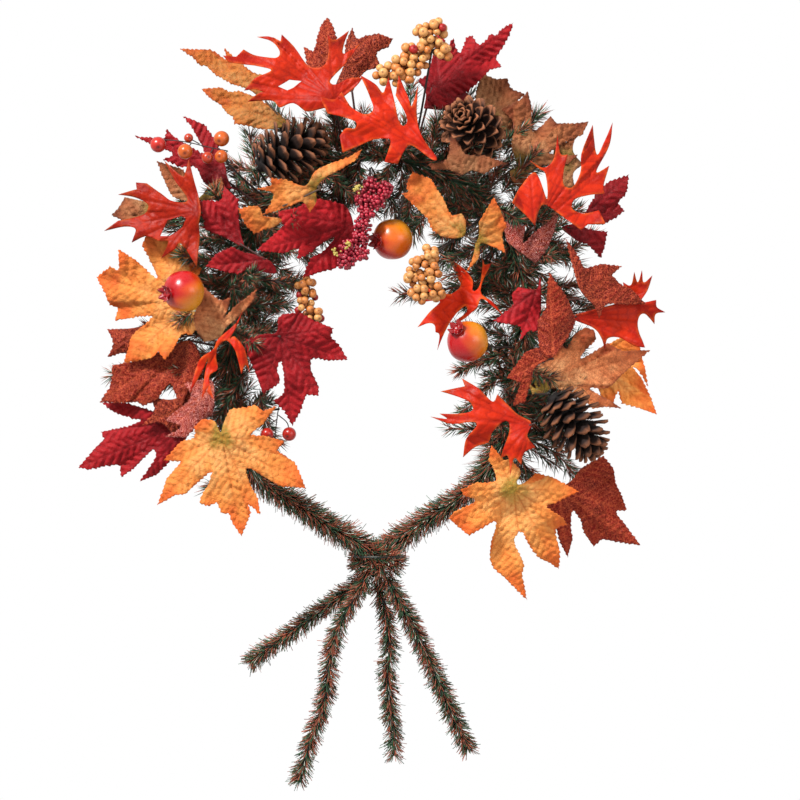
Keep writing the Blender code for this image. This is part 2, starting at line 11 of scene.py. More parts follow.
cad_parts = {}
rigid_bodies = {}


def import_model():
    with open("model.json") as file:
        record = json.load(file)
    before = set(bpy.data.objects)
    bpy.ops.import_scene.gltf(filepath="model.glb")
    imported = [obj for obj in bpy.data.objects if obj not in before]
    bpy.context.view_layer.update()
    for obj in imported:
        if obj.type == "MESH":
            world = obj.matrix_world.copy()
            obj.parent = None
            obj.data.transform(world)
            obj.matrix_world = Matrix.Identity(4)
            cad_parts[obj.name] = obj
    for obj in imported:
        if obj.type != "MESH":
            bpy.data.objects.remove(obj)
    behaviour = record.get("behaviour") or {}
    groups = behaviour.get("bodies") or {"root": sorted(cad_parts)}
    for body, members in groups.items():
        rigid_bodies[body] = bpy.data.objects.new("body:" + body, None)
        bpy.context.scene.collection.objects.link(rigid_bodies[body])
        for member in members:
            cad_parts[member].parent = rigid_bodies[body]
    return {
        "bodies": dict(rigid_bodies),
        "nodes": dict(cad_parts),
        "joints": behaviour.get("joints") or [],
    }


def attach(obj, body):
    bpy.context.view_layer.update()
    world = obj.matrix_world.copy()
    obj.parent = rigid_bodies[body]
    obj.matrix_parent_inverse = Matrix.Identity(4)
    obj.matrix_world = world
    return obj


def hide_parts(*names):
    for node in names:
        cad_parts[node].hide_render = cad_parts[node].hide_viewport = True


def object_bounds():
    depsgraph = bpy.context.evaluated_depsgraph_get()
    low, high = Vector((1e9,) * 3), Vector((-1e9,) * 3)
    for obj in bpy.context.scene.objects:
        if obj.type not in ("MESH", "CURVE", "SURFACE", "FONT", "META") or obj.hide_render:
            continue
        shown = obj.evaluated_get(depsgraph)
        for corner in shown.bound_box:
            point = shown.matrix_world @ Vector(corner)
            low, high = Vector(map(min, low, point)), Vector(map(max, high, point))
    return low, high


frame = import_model()
CAD_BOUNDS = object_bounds()

MM = 0.001
ROOT = "wreath"
BODIES = set(frame["bodies"])

# ---- places, as the CAD model has them ------------------------------------------------------
RING_RADIUS = 0.148
HOOP_Y = -0.027
CENTRE = Vector((0.0, HOOP_Y, -0.179))
GARLAND_RADIUS = 0.018
ARM_RADIUS = 0.012
ARM_PLANE = 0.0135
TAIL_RADIUS = 0.009
LEFT_LEG = [(-1.01, 0.045), (-1.01, 0.090), (-0.96, 0.137), (-0.83, 0.175), (-0.53, 0.205),
            (-0.34, 0.224), (-0.15, 0.240), (0.03, 0.262)]
RIGHT_LEG = [(1.00, 0.045), (0.99, 0.080), (0.93, 0.117), (0.76, 0.167), (0.62, 0.189),
             (0.44, 0.208), (0.27, 0.225), (0.10, 0.243), (-0.08, 0.263)]
LEG_SLEEVE_POINTS = 4


def on_ring(clock, outwards, y=HOOP_Y):
    """A place by clock degrees from the top and metres outwards of the ring."""
    reach = RING_RADIUS + outwards
    turn = math.radians(clock)
    return Vector((reach * math.sin(turn), y, CENTRE.z + reach * math.cos(turn)))


def towards(heading):
    """The direction of a heading in the wreath's plane, clockwise from up."""
    turn = math.radians(heading)
    return Vector((math.sin(turn), 0, math.cos(turn)))


def body_of(node):
    return node if node in BODIES else ROOT


# ---- colours and small maths -----------------------------------------------------------------
def rgb(r, g, b):
    """Screen values 0..255 as linear light."""
    c = np.array((r, g, b), float) / 255
    return np.where(c <= 0.04045, c / 12.92, ((c + 0.055) / 1.055) ** 2.4)


def smooth(value, low, high):
    t = np.clip((value - low) / (high - low), 0, 1)
    return t * t * (3 - 2 * t)


def mix(a, b, t):
    return a + (b - a) * np.asarray(t)[..., None]


def ripple(x, z, size, seed, waves=10):
    """Smooth random heights, about -1 to 1, with bumps of this size."""
    rng = np.random.default_rng(seed)
    total = np.zeros_like(x)
    for _ in range(waves):
        turn = rng.uniform(0, 2 * math.pi)
        k = 2 * math.pi / (size * rng.uniform(0.7, 1.6))
        total += np.sin(k * (x * math.cos(turn) + z * math.sin(turn)) + rng.uniform(0, 6.28))
    return total / math.sqrt(waves) * 0.9


# ---- objects ----------------------------------------------------------------------------------
def new_object(name, points, faces, materials, tint=None, shade=True, slots=None):
    mesh = bpy.data.meshes.new(name)
    faces = faces.tolist() if isinstance(faces, np.ndarray) else faces
    mesh.from_pydata(np.asarray(points, float).tolist(), [], faces)
    if tint is not None:
        tint = np.asarray(tint, np.float32)
        rgba = np.ones((len(tint), 4), np.float32)
        rgba[:, :3] = np.clip(tint, 0, 1)
        layer = mesh.color_attributes.new("tint", "FLOAT_COLOR", "POINT")
        layer.data.foreach_set("color", rgba.ravel())
    for material in materials:
        mesh.materials.append(material)
    if slots is not None:
        mesh.polygons.foreach_set("material_index", slots)
    if shade:
        mesh.shade_smooth()
    mesh.update()
    obj = bpy.data.objects.new(name, mesh)
    bpy.context.scene.collection.objects.link(obj)
    return obj


def finish_piece(obj, node):
    """A piece that stands for the whole CAD node."""
    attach(obj, body_of(node))
    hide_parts(node)


def finish_wire(obj, node):
    """A stem or a twig that moves with its node."""
    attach(obj, body_of(node))


# Tints are given as they look in the studio; these turn them into the surface's own colour.
EXPOSURE, RICHNESS = 0.51, 1.15


class Batch:
    """Points, faces and colours gathered for one piece."""

    def __init__(self):
        self.points, self.faces, self.tint, self.count = [], [], [], 0

    def put(self, points, faces, tint):
        points = np.asarray(points, float)
        tint = np.asarray(tint, float)
        if tint.ndim == 1:
            tint = np.tile(tint, (len(points), 1))
        self.points.append(points)
        self.tint.append(tint)
        self.faces.extend([[i + self.count for i in f] for f in faces])
        self.count += len(points)

    def build(self, name, materials):
        tint = EXPOSURE * np.clip(np.vstack(self.tint), 0, None) ** RICHNESS
        return new_object(name, np.vstack(self.points), self.faces, materials, tint)


def frames_along(path):
    """Tangent, side and up at each point of a path, without sudden turns."""
    path = np.asarray(path, float)
    tangent = np.gradient(path, axis=0)
    tangent /= np.linalg.norm(tangent, axis=1)[:, None] + 1e-12
    start = np.array((0.0, 1.0, 0.0)) if abs(tangent[0][1]) < 0.9 else np.array((1.0, 0, 0))
    side = np.zeros_like(path)
    last = start
    for i, t in enumerate(tangent):
        last = last - t * np.dot(last, t)
        last /= np.linalg.norm(last) + 1e-12
        side[i] = last
    return tangent, side, np.cross(tangent, side)


def rings_joined(count, sides):
    """Faces between rings of points, each ring with this many."""
    faces = []
    for start in range(0, (count - 1) * sides, sides):
        for k in range(sides):
            after = (k + 1) % sides
            faces.append((start + k, start + after, start + sides + after, start + sides + k))
    return faces


def tube(batch, path, radius, tint, sides=6, taper=None):
    path = np.asarray(path, float)
    _, side, up = frames_along(path)
    radii = np.full(len(path), radius) if taper is None else radius * np.asarray(taper)
    turns = (np.arange(sides) * 2 * math.pi / sides)[:, None]
    outward = side[:, None] * np.cos(turns) + up[:, None] * np.sin(turns)
    rings = path[:, None] + radii[:, None, None] * outward
    n = len(path)
    faces = rings_joined(n, sides)
    faces.append(tuple(range(sides))[::-1])
    faces.append(tuple((n - 1) * sides + k for k in range(sides)))
    tint = np.asarray(tint, float)
    if tint.ndim == 2:
        tint = np.repeat(tint, sides, axis=0)
    batch.put(rings.reshape(-1, 3), faces, tint)


def between(a, b, c, d, t):
    """A point of the smooth curve through a, b, c and d, a share t of the way from b to c."""
    return 0.5 * (2 * b + (c - a) * t + (2 * a - 5 * b + 4 * c - d) * t * t
                  + (3 * b - a - 3 * c + d) * t ** 3)


def smooth_path(points, steps):
    """A smooth curve through the points, with this many steps from each to the next."""
    points = [np.asarray(p, float) for p in points]
    ends = [2 * points[0] - points[1], *points, 2 * points[-1] - points[-2]]
    path = []
    for a, b, c, d in zip(ends, ends[1:], ends[2:], ends[3:]):
        path += [between(a, b, c, d, i / steps) for i in range(steps)]
    return np.array(path + [points[-1]])


# ---- materials --------------------------------------------------------------------------------
def shader(name, roughness, metallic=0.0, coat=0.0, sheen=0.0, specular=0.5):
    """A new material with its node tree and its Principled BSDF."""
    made = bpy.data.materials.new(name)
    made.use_nodes = True
    tree = made.node_tree
    bsdf = tree.nodes["Principled BSDF"]
    bsdf.inputs["Roughness"].default_value = roughness
    bsdf.inputs["Metallic"].default_value = metallic
    bsdf.inputs["Coat Weight"].default_value = coat
    bsdf.inputs["Coat Roughness"].default_value = 0.15
    bsdf.inputs["Sheen Weight"].default_value = sheen
    bsdf.inputs["Specular IOR Level"].default_value = specular
    return made, tree, bsdf


def link_or_set(tree, value, socket):
    if hasattr(value, "is_output"):
        tree.links.new(value, socket)
    else:
        socket.default_value = value


def add(tree, kind, inputs, **settings):
    """A shader node with its settings; an input is a value or another node's output."""
    made = tree.nodes.new("ShaderNode" + kind)
    for key, value in settings.items():
        setattr(made, key, value)
    for key, value in inputs.items():
        link_or_set(tree, value, made.inputs[key])
    return made


def noise(tree, where, scale, detail, output="Fac", rough=0.5):
    made = add(tree, "TexNoise", {"Vector": where, "Scale": scale, "Detail": detail, "Roughness": rough})
    return made.outputs[output]


def blend_colour(tree, kind, factor, a, b):
    made = tree.nodes.new("ShaderNodeMix")
    made.data_type = "RGBA"
    made.blend_type = kind
    for socket, value in ((0, factor), (6, a), (7, b)):
        link_or_set(tree, value, made.inputs[socket])
    return made.outputs[2]


def ramp(tree, value, stops):
    made = add(tree, "ValToRGB", {"Fac": value})
    for element, (place, shade) in zip(made.color_ramp.elements, stops):
        element.position = place
        element.color = (shade, shade, shade, 1)
    return made.outputs["Color"]


def mottled_tint(tree, cloud, mottle):
    """The piece's own tint, darkened in the cloud's dark places."""
    tint = add(tree, "Attribute", {}, attribute_name="tint").outputs["Color"]
    return blend_colour(tree, "MULTIPLY", 1.0, tint, ramp(tree, cloud, [(0.30, 1.0 - mottle), (0.70, 1.0)]))


def surface(made, colour, cloud, gloss, height, relief, depth, span=(0.3, 0.7)):
    """Colour, a bump from the height, and a roughness that follows the cloud from gloss to gloss."""
    material, tree, bsdf = made
    tree.links.new(colour, bsdf.inputs["Base Color"])
    bump = add(tree, "Bump", {"Height": height, "Strength": relief, "Distance": depth})
    tree.links.new(bump.outputs[0], bsdf.inputs["Normal"])
    rough = add(tree, "MapRange", {"Value": cloud, "From Min": span[0], "From Max": span[1],
                                   "To Min": gloss[0], "To Max": gloss[1]})
    tree.links.new(rough.outputs[0], bsdf.inputs["Roughness"])
    return material


def leaf_material(name, net_colour, net_scale, net_share, mottle, relief, roughness):
    """Printed cloth: the leaf's own tint, a fine vein net, mottling and an embossed surface."""
    made = shader(name, roughness, sheen=0.02, specular=0.1)
    tree = made[1]
    where = tree.nodes.new("ShaderNodeTexCoord").outputs["Object"]
    warp = noise(tree, where, 120.0, 2.0, "Color")
    bent = add(tree, "MixRGB", {"Fac": 0.012, "Color1": where, "Color2": warp}).outputs[0]
    net = add(tree, "TexVoronoi", {"Vector": bent, "Scale": net_scale}, feature="DISTANCE_TO_EDGE")
    net = net.outputs["Distance"]
    cloud = noise(tree, where, 70.0, 5.0, rough=0.6)
    grain = noise(tree, where, 900.0, 3.0)
    lines = ramp(tree, net, [(0.0, 1.0), (0.10, 0.0)])
    share = add(tree, "Math", {0: lines, 1: net_share}, operation="MULTIPLY").outputs[0]
    colour = blend_colour(tree, "MIX", share, mottled_tint(tree, cloud, mottle), (*net_colour, 1))
    cells = add(tree, "Math", {0: net, 1: 0.25}, operation="MINIMUM").outputs[0]
    height = add(tree, "Math", {0: grain, 1: 0.25, 2: cells}, operation="MULTIPLY_ADD").outputs[0]
    return surface(made, colour, cloud, (roughness - 0.1, roughness + 0.1), height, relief, 0.0015)


def tinted_material(name, roughness, scale, mottle, relief, coat=0.0, specular=0.5):
    """The piece's own tint with mottling and a fine bump."""
    made = shader(name, roughness, coat=coat, specular=specular)
    tree = made[1]
    where = tree.nodes.new("ShaderNodeTexCoord").outputs["Object"]
    cloud = noise(tree, where, scale, 6.0, rough=0.65)
    gloss = (roughness - 0.08, roughness + 0.08)
    return surface(made, mottled_tint(tree, cloud, mottle), cloud, gloss, cloud, relief, 0.001)


# Cloths: colour, scale and share of the fine vein net, mottling, relief and roughness.
CLOTHS = {
    "oak": (rgb(200, 60, 25), 300.0, 0.10, 0.16, 0.25, 0.50),
    "orange": (rgb(196, 100, 40), 260.0, 0.30, 0.22, 0.9, 0.60),
    "crimson": (rgb(150, 25, 35), 300.0, 0.25, 0.30, 0.6, 0.55),
    "burgundy": (rgb(205, 95, 60), 380.0, 0.45, 0.35, 0.6, 0.60),
    "tan": (rgb(120, 70, 45), 330.0, 0.55, 0.30, 1.0, 0.65),
    "rose": (rgb(205, 140, 130), 500.0, 0.6, 0.30, 0.6, 0.65),
}
MATERIALS = {name: leaf_material(name + "_cloth", *row) for name, row in CLOTHS.items()}
PINE = tinted_material("pine_needles", 0.55, 400.0, 0.35, 0.15, specular=0.4)
CONE = tinted_material("cone_scales", 0.75, 350.0, 0.45, 0.8, specular=0.25)
FRUIT = tinted_material("fruit_lacquer", 0.28, 180.0, 0.12, 0.12, coat=0.12, specular=0.3)
PEACH = tinted_material("peach_beads", 0.42, 350.0, 0.22, 0.25, specular=0.3)
BERRY = tinted_material("berry_lacquer", 0.30, 260.0, 0.25, 0.15, coat=0.08, specular=0.35)
PEPPER = tinted_material("pepper_beads", 0.45, 600.0, 0.30, 0.3)
STEM = tinted_material("stem_wrap", 0.7, 600.0, 0.45, 0.7)

# ---- the hoop's line ---------------------------------------------------------------------------
def leg(points, plane):
    """A leg below the arch; past its sleeve it leans to its own plane at the crossing."""
    made = []
    for i, (side, drop) in enumerate(points):
        share = max(0, i + 1 - LEG_SLEEVE_POINTS) / (len(points) - LEG_SLEEVE_POINTS)
        made.append(CENTRE + Vector((side * RING_RADIUS, plane * share, -drop)))
    return made


def arch(first, last):
    """Points of the ring, about every ten degrees."""
    count = round(abs(last - first) / 10)
    return [on_ring(first + (last - first) * i / count, 0) for i in range(count + 1)]


LEFT = smooth_path((arch(-0.1, -90) + leg(LEFT_LEG, -ARM_PLANE)), 3)
RIGHT = smooth_path((arch(0.1, 90) + leg(RIGHT_LEG, ARM_PLANE)), 3)
SPLIT_LEFT = len(LEFT) - 1 - 3 * (len(LEFT_LEG) - LEG_SLEEVE_POINTS)
SPLIT_RIGHT = len(RIGHT) - 1 - 3 * (len(RIGHT_LEG) - LEG_SLEEVE_POINTS)
HOOP_PATH = np.vstack([LEFT, RIGHT])


def garland_foot(at):
    """Where a pick's stem goes into the pine: the nearest part of the garland's front."""
    at = np.asarray(at, float)
    flat = (HOOP_PATH - at) * (1, 0, 1)
    near = HOOP_PATH[(flat ** 2).sum(1).argmin()]
    aside = (at - near) * (1, 0, 1)
    distance = np.linalg.norm(aside) + 1e-9
    reach = min(distance, 0.6 * GARLAND_RADIUS)
    foot = near + aside / distance * reach
    foot[1] = HOOP_Y - math.sqrt(GARLAND_RADIUS ** 2 - reach ** 2)
    return foot


# ---- leaves -----------------------------------------------------------------------------------
# Leaf picks by kind: the foot of each blade, as clock degrees and metres outwards of the ring.
PICKS = {
    "oak": {
        "oak_leaf_top_left": [(-12, 0.057)],
        "oak_leaf_top": [(22, 0.006)],
        "oak_leaf_left": [(-63, 0.052)],
        "oak_leaf_right_top": [(65, 0.022)],
        "oak_leaf_inner_right": [(95, -0.022)],
        "oak_leaf_right": [(94, 0.05)],
        "oak_leaf_lower_right": [(129, 0.045)],
        "oak_leaf_folded_left": [(-98, -0.007)],
    },
    "orange": {
        "maple_leaf_left": [(-90, 0.036)],
        "maple_leaf_lower_left": [(-131, 0.056)],
        "maple_leaf_lower_right": [(144, 0.08)],
        "maple_leaf_far_right": [(105, 0.078)],
        "maple_pair_top_left": [(-29, 0.087), (-27, 0.054)],
        "maple_pair_top": [(-27, -0.024), (-45, -0.016)],
        "maple_pair_curled": [(53, -0.04), (58, -0.034)],
    },
    "crimson": {
        "crimson_leaf_top_right": [(14, 0.076)],
        "crimson_leaf_inner_top": [(-20, -0.066)],
        "crimson_leaf_inner_left": [(-109, -0.045)],
        "crimson_leaf_lower_left": [(-122, 0.07)],
        "crimson_pair_left": [(-67, 0.0), (-69, -0.028)],
        "crimson_leaf_far_left": [(-51, 0.052)],
        "crimson_pair_right": [(68, 0.065), (68, 0.054)],
        "crimson_leaf_small": [(86, 0.009)],
    },
    "burgundy": {
        "burgundy_leaf_top": [(-14, 0.072)],
        "burgundy_leaf_crown": [(-7, 0.068)],
        "burgundy_leaf_left": [(-101, 0.046)],
        "burgundy_leaf_turned": [(-117, 0.034)],
        "burgundy_leaf_right": [(89, 0.054)],
        "burgundy_pair_tall": [(108, 0.034), (108, 0.03)],
        "burgundy_leaf_inner": [(76, -0.002)],
        "burgundy_leaf_lower_right": [(136, 0.112)],
    },
    "tan": {
        "brown_leaf_curled": [(38, -0.004)],
        "tan_leaf_top_right": [(45, 0.052)],
        "tan_leaf_right": [(117, 0.034)],
        "tan_leaf_folded": [(-105, 0.0)],
        "tan_leaf_far_left": [(-60, 0.052)],
    },
}

# Outline of each blade in millimetres to the right of and above its foot: T is a lobe's tip with
# a main vein, t a smaller corner, s a rounded bay. After a bar comes a hole.
OUTLINES = {
    "maple_leaf_lower_right": (
        "T-22,43 t-13,32 s-8,28 t-4,30 s7,17 s3,6 s9,5 T23,15 t39,11 T65,-3 t43,-14 s33,-18 "
        "t49,-29 T54,-36 s43,-42 t47,-64 T46,-81 t38,-75 t25,-69 s16,-56 s8,-43 s1,-52 "
        "t11,-75 t9,-86 T14,-111 t-9,-88 s-17,-81 s-22,-73 s-22,-56 s-17,-33 t-30,-38 "
        "T-44,-46 t-54,-38 T-64,-29 t-59,-23 s-38,-12 t-50,-6 T-52,-1 t-38,6 s-18,8 t-21,23 "
        "t-25,27"
    ),
    "maple_leaf_lower_left": (
        "s-1,5 s-7,16 T-19,18 t-27,11 s-28,-1 s-40,-4 t-49,-13 T-58,-23 t-40,-24 t-55,-41 "
        "t-58,-51 T-64,-67 t-46,-57 t-36,-56 s-23,-44 s-10,-34 s-13,-46 s-19,-55 t-22,-65 "
        "t-13,-68 t-5,-64 t0,-75 t7,-75 s11,-85 T20,-97 t29,-74 s27,-66 T38,-76 t36,-60 "
        "s30,-50 s24,-33 s29,-31 t42,-39 t58,-48 T83,-50 t77,-35 t72,-25 t54,-13 T62,-4 s44,1 "
        "s29,3 t40,12 t47,22 T55,31 t41,26 t33,32 t20,29 s8,27 s2,14"
    ),
    "maple_leaf_left": (
        "T-76,54 t-60,44 s-37,25 t-52,58 T-46,70 t-20,62 t-1,52 T7,34 s1,17 t9,7 T21,-15 "
        "s7,-24 t-3,-32 s-12,-32 t-20,-46 T-29,-57 t-36,-48 s-44,-55 T-72,-60 t-66,-42 "
        "s-64,-33 s-48,-19 s-43,-13 s-54,-13 T-81,-17 t-78,-4 t-87,-1 t-91,11 T-100,27 "
        "t-85,37 s-76,34"
    ),
    "oak_leaf_top_left": (
        "s-1,-6 s-10,-9 s-23,-12 t-29,-12 s-41,-4 s-53,-8 t-56,-7 s-63,-1 T-87,-1 s-74,7 "
        "t-69,7 s-79,10 T-90,9 s-79,21 s-63,29 t-79,34 T-105,37 t-111,44 t-98,43 T-91,51 "
        "s-79,45 s-59,42 s-55,49 s-63,59 T-78,64 s-65,64 t-54,59 T-53,66 s-41,54 s-27,35 "
        "s-16,32 s-9,36 s-6,49 T-7,64 s0,59 T14,69 s9,55 s9,46 T25,56 s10,35 s-3,21 s-4,16 "
        "s2,15 s14,21 T28,22 s21,13 s6,0 | -56,13 -45,20 -33,19 -41,12 -47,9"
    ),
    "oak_leaf_top": (
        "T-75,80 s-60,71 s-53,63 s-50,68 T-47,78 s-42,58 s-37,36 s-32,30 s-29,38 t-40,60 "
        "T-37,80 s-28,59 s-24,49 T-18,70 s-19,40 s-14,19 s0,-1 s-4,-4 s-23,10 s-30,7 T-38,-8 "
        "t-51,-6 s-45,13 s-49,17 s-63,16 s-76,10 T-92,3 t-95,20 s-89,27 s-80,27 s-79,33 "
        "s-91,38 t-107,42 T-115,59 s-101,56 T-93,64 s-84,49 s-70,41 s-62,46 s-66,60"
    ),
    "oak_leaf_left": (
        "s3,-2 s1,11 s-4,29 T-10,53 s-13,39 s-17,35 T-35,51 s-24,31 s-11,11 s-26,10 s-38,18 "
        "t-52,28 T-63,29 t-62,22 T-81,17 s-64,14 s-52,8 s-51,2 s-58,-4 t-81,-9 T-95,-19 "
        "s-74,-15 s-63,-18 T-67,-31 s-52,-25 s-39,-30 s-30,-31 T-37,-47 s-23,-38 s-17,-33 "
        "T-1,-56 s1,-29 s1,-12 | -38,-25 -31,-9 -17,-5 -12,-8 -17,-17 -29,-25"
    ),
    "oak_leaf_right_top": (
        "s12,24 s5,18 T1,3 s-10,15 T-22,25 s-13,42 s2,56 s13,30 s12,54 s5,60 T-4,68 s10,61 "
        "s20,70 T24,94 s27,75 T34,74 s30,58 s30,44 s39,42 s47,58 s48,76 T59,104 s61,88 s64,75 "
        "s71,88 T80,108 s76,84 s63,58 T76,64 s70,44 t71,36 s54,34 s40,29 s39,20 s50,16 t65,19 "
        "T71,5 t54,5 T47,-1 s32,10"
    ),
    "oak_leaf_inner_right": (
        "s-1,-1 s-11,12 s-22,20 s-21,32 T-12,51 s-19,49 T-21,54 s-23,32 s-27,24 s-31,24 "
        "s-31,34 s-41,47 T-56,57 s-46,38 s-43,28 s-54,20 s-68,25 T-94,27 s-84,17 t-85,12 "
        "s-64,13 s-74,2 T-86,-13 s-75,-9 s-69,-11 t-68,-18 s-64,-21 T-66,-36 s-60,-21 s-52,-6 "
        "s-44,4 s-38,8 s-37,2 s-48,-7 s-41,-6 s-27,6 s-21,15"
    ),
    "oak_leaf_right": (
        "s0,2 s25,9 s48,16 s50,25 T48,35 s56,32 T59,45 s63,35 T67,47 s69,35 T78,42 s73,27 "
        "s66,15 T81,17 s82,10 T91,5 s81,3 T80,-7 s70,3 s64,0 s63,-12 T69,-31 s58,-29 s44,-21 "
        "s32,-22 T30,-34 s25,-20 s17,-11 s-2,-3"
    ),
    "oak_leaf_lower_right": (
        "s1,-1 t0,4 s-13,11 s-22,20 T-32,30 s-37,23 s-51,36 T-67,46 t-64,38 T-88,33 s-72,28 "
        "s-59,22 s-57,14 s-70,11 T-89,11 s-82,6 T-98,8 s-78,1 s-57,3 s-53,-1 s-63,-14 "
        "T-66,-32 s-54,-22 s-41,-17 s-37,-7 s-27,3 s-21,2 s-21,-8 s-27,-25 T-29,-33 s-22,-31 "
        "T-20,-49 s-16,-33 T-9,-39 s-6,-27 T5,-22 s-3,-11"
    ),
    "oak_leaf_folded_left": (
        "s2,-3 T9,16 s4,4 s-3,-5 s-17,-18 s-22,-28 s-36,-39 T-45,-71 s-36,-55 s-27,-37 "
        "s-30,-49 T-33,-77 s-26,-63 t-28,-69 T-21,-77 s-26,-55 s-18,-47 s-19,-35 s-17,-25 "
        "s-9,-19 s-1,-27 s3,-39 T6,-52 s10,-43 T14,-51 s12,-39 s8,-25 s-1,-15 s-5,-17"
    ),
    "crimson_leaf_top_right": (
        "s0,-2 T5,63 s16,45 t20,50 s24,26 t35,52 T41,55 s48,44 t60,55 t64,53 t71,60 T82,66 "
        "t79,55 t72,42 s65,31 T70,21 t58,18 s46,5 s36,-3 t24,-8 T9,-23 s-5,-12"
    ),
    "crimson_leaf_inner_top": (
        "s4,-1 s-4,19 t-25,25 T-37,27 t-51,17 T-71,13 s-69,5 t-65,-1 t-78,-12 T-92,-25 "
        "t-79,-27 t-65,-28 s-52,-23 T-52,-34 t-39,-27 s-27,-17 s-15,-12 s-27,-26 t-37,-31 "
        "t-43,-41 T-47,-52 t-31,-47 s-10,-40 s2,-21"
    ),
    "crimson_leaf_inner_left": (
        "s-4,4 t-2,18 T2,22 t20,24 t33,16 T53,8 t50,0 t59,-9 T67,-23 t49,-24 s32,-22 t30,-33 "
        "t38,-50 T38,-59 t26,-58 t20,-74 T12,-89 t4,-74 t-7,-64 s3,-57 s4,-41 s1,-25 s-3,-33 "
        "s-1,-46 T-17,-57 t-23,-41 t-32,-19 T-34,-3 s-17,2"
    ),
    "crimson_leaf_lower_left": (
        "s0,-2 s-19,-2 s-45,8 t-72,16 T-96,16 s-82,6 s-64,0 s-55,-2 t-68,-8 T-97,-14 t-93,-21 "
        "t-103,-31 T-119,-50 t-108,-52 t-90,-48 s-78,-48 T-76,-60 t-62,-50 s-43,-32 s-41,-41 "
        "T-57,-64 t-39,-57 s-19,-35"
    ),
    "crimson_pair_left": (
        "s2,-2 s0,10 s-2,25 t-2,44 T-17,58 s-20,44 t-31,44 T-51,44 t-43,35 t-36,23 t-38,16 "
        "t-31,13 s-18,8"
    ),
    "crimson_pair_left_b": (
        "s6,-3 t-6,4 t-22,7 t-33,12 t-49,5 T-59,-7 t-45,-11 t-28,-15 t-16,-10 s10,-14"
    ),
    "crimson_leaf_far_left": (
        "s7,-7 s-1,22 t-10,41 t-20,55 T-42,64 s-32,51 s-20,26 t-40,36 t-51,43 T-58,51 s-61,41 "
        "t-73,42 T-91,44 t-75,36 s-52,26 t-62,20 t-44,12 s-28,11 s-16,-7 T17,-12"
    ),
    "crimson_pair_right": (
        "s9,2 s15,19 t25,35 t36,44 T56,51 t53,32 s45,22 T51,14 t42,7 t29,0"
    ),
    "crimson_pair_right_b": (
        "s-3,0 s11,4 t25,-1 T44,-3 t41,-18 T37,-30 t25,-17 t11,-12"
    ),
    "crimson_leaf_small": (
        "s1,2 T4,14 s5,0 s5,-19 t1,-40 t-7,-39 T-16,-49 s-15,-36 t-28,-33 T-42,-30 t-32,-22 "
        "s-23,-14 t-24,-3 T-17,4 s-7,2"
    ),
    "burgundy_leaf_top": (
        "s1,4 t-18,24 t-20,35 T-22,46 s-12,42 t-8,57 t-4,69 T2,77 t8,66 t12,51 s7,28"
    ),
    "burgundy_leaf_crown": (
        "s0,-1 s-16,3 s-8,27 t-7,46 T0,64 s5,53 t14,56 t27,58 T41,53 t37,45 s25,38 T29,24 "
        "t14,20 s4,9"
    ),
    "burgundy_leaf_left": (
        "s3,-1 s-21,-7 t-42,-18 t-60,-22 T-78,-25 t-78,-36 t-81,-48 T-91,-62 t-75,-63 "
        "t-52,-62 T-46,-66 t-32,-60 s-19,-44 s-13,-54 T-7,-69 t-1,-54 t5,-42 s13,-22"
    ),
    "burgundy_leaf_turned": (
        "s-3,4 t-15,6 T-32,2 s-25,-9 s-29,-17 t-40,-25 T-51,-35 t-40,-38 s-35,-42 T-51,-51 "
        "t-29,-52 s-13,-35 t-3,-29 s-1,-15"
    ),
    "burgundy_leaf_right": (
        "s-1,8 s-9,34 T-15,59 s-6,48 t3,30 t21,35 T41,33 t31,24 t39,16 t51,10 T66,-5 t43,-5 "
        "s25,-6 T18,-19 t13,-7"
    ),
    "burgundy_pair_tall": (
        "s-1,1 s-12,6 t-15,24 t-15,38 t-7,49 t-6,67 T-4,85 t5,72 t13,62 t19,49 s22,35 s11,16"
    ),
    "burgundy_pair_tall_b": (
        "s1,1 t-12,10 t-24,5 t-32,-6 T-42,-20 t-31,-24 s-29,-27 T-36,-48 t-24,-44 s-18,-24 "
        "s-14,-10"
    ),
    "burgundy_leaf_inner": (
        "s14,5 s2,13 t-13,25 T-19,49 t-9,42 T5,41 s3,24 t14,34 t25,43 T38,54 t34,37 t28,20 "
        "s20,8"
    ),
    "burgundy_leaf_lower_right": (
        "s-3,-2 s14,10 s24,22 T45,34 t56,21 s59,6 t65,-6 T70,-21 s59,-23 t67,-34 t75,-45 "
        "T83,-56 t67,-54 t45,-50 T36,-57 t26,-43 t23,-31 s15,-21 s13,-35 t15,-49 T10,-68 "
        "t2,-53 t-3,-33 s-12,-15"
    ),
    "maple_leaf_far_right": (
        "s-2,0 s19,20 T41,30 t48,14 t53,-6 T56,-25 s46,-8 s41,-6 t49,-16 t58,-33 T65,-53 "
        "t47,-47 t29,-42 s25,-30 s21,-39 T17,-47 t7,-33"
    ),
    "maple_pair_top_left": (
        "s-3,2 s0,16 t-2,27 s-14,30 t-31,44 T-43,56 s-41,44 t-52,52 t-57,54 t-73,54 T-88,55 "
        "t-74,45 t-68,38 t-61,37 t-52,28 t-35,18 s-16,11"
    ),
    "maple_pair_top_left_b": (
        "s0,1 s-14,17 t-34,30 t-49,36 t-59,35 t-68,40 T-88,39 t-79,29 t-68,22 t-61,13 t-55,9 "
        "t-53,2 t-41,0 s-20,-4"
    ),
    "maple_pair_top": (
        "s-4,0 s-4,-12 T-10,-23 s-17,-13 t-27,-16 T-56,-26 t-48,-13 s-47,-4 T-63,0 t-48,3 "
        "T-49,10 t-34,9 s-15,3 s-5,17 t12,26 t28,31 T41,39 t36,29 t20,19 s4,10"
    ),
    "maple_pair_top_b": (
        "s-1,-13 t-19,-10 s-23,-1 t-31,0 T-43,-3 t-40,-12 t-35,-20 T-28,-27 t-19,-23 s-8,-20"
    ),
    "maple_pair_curled": (
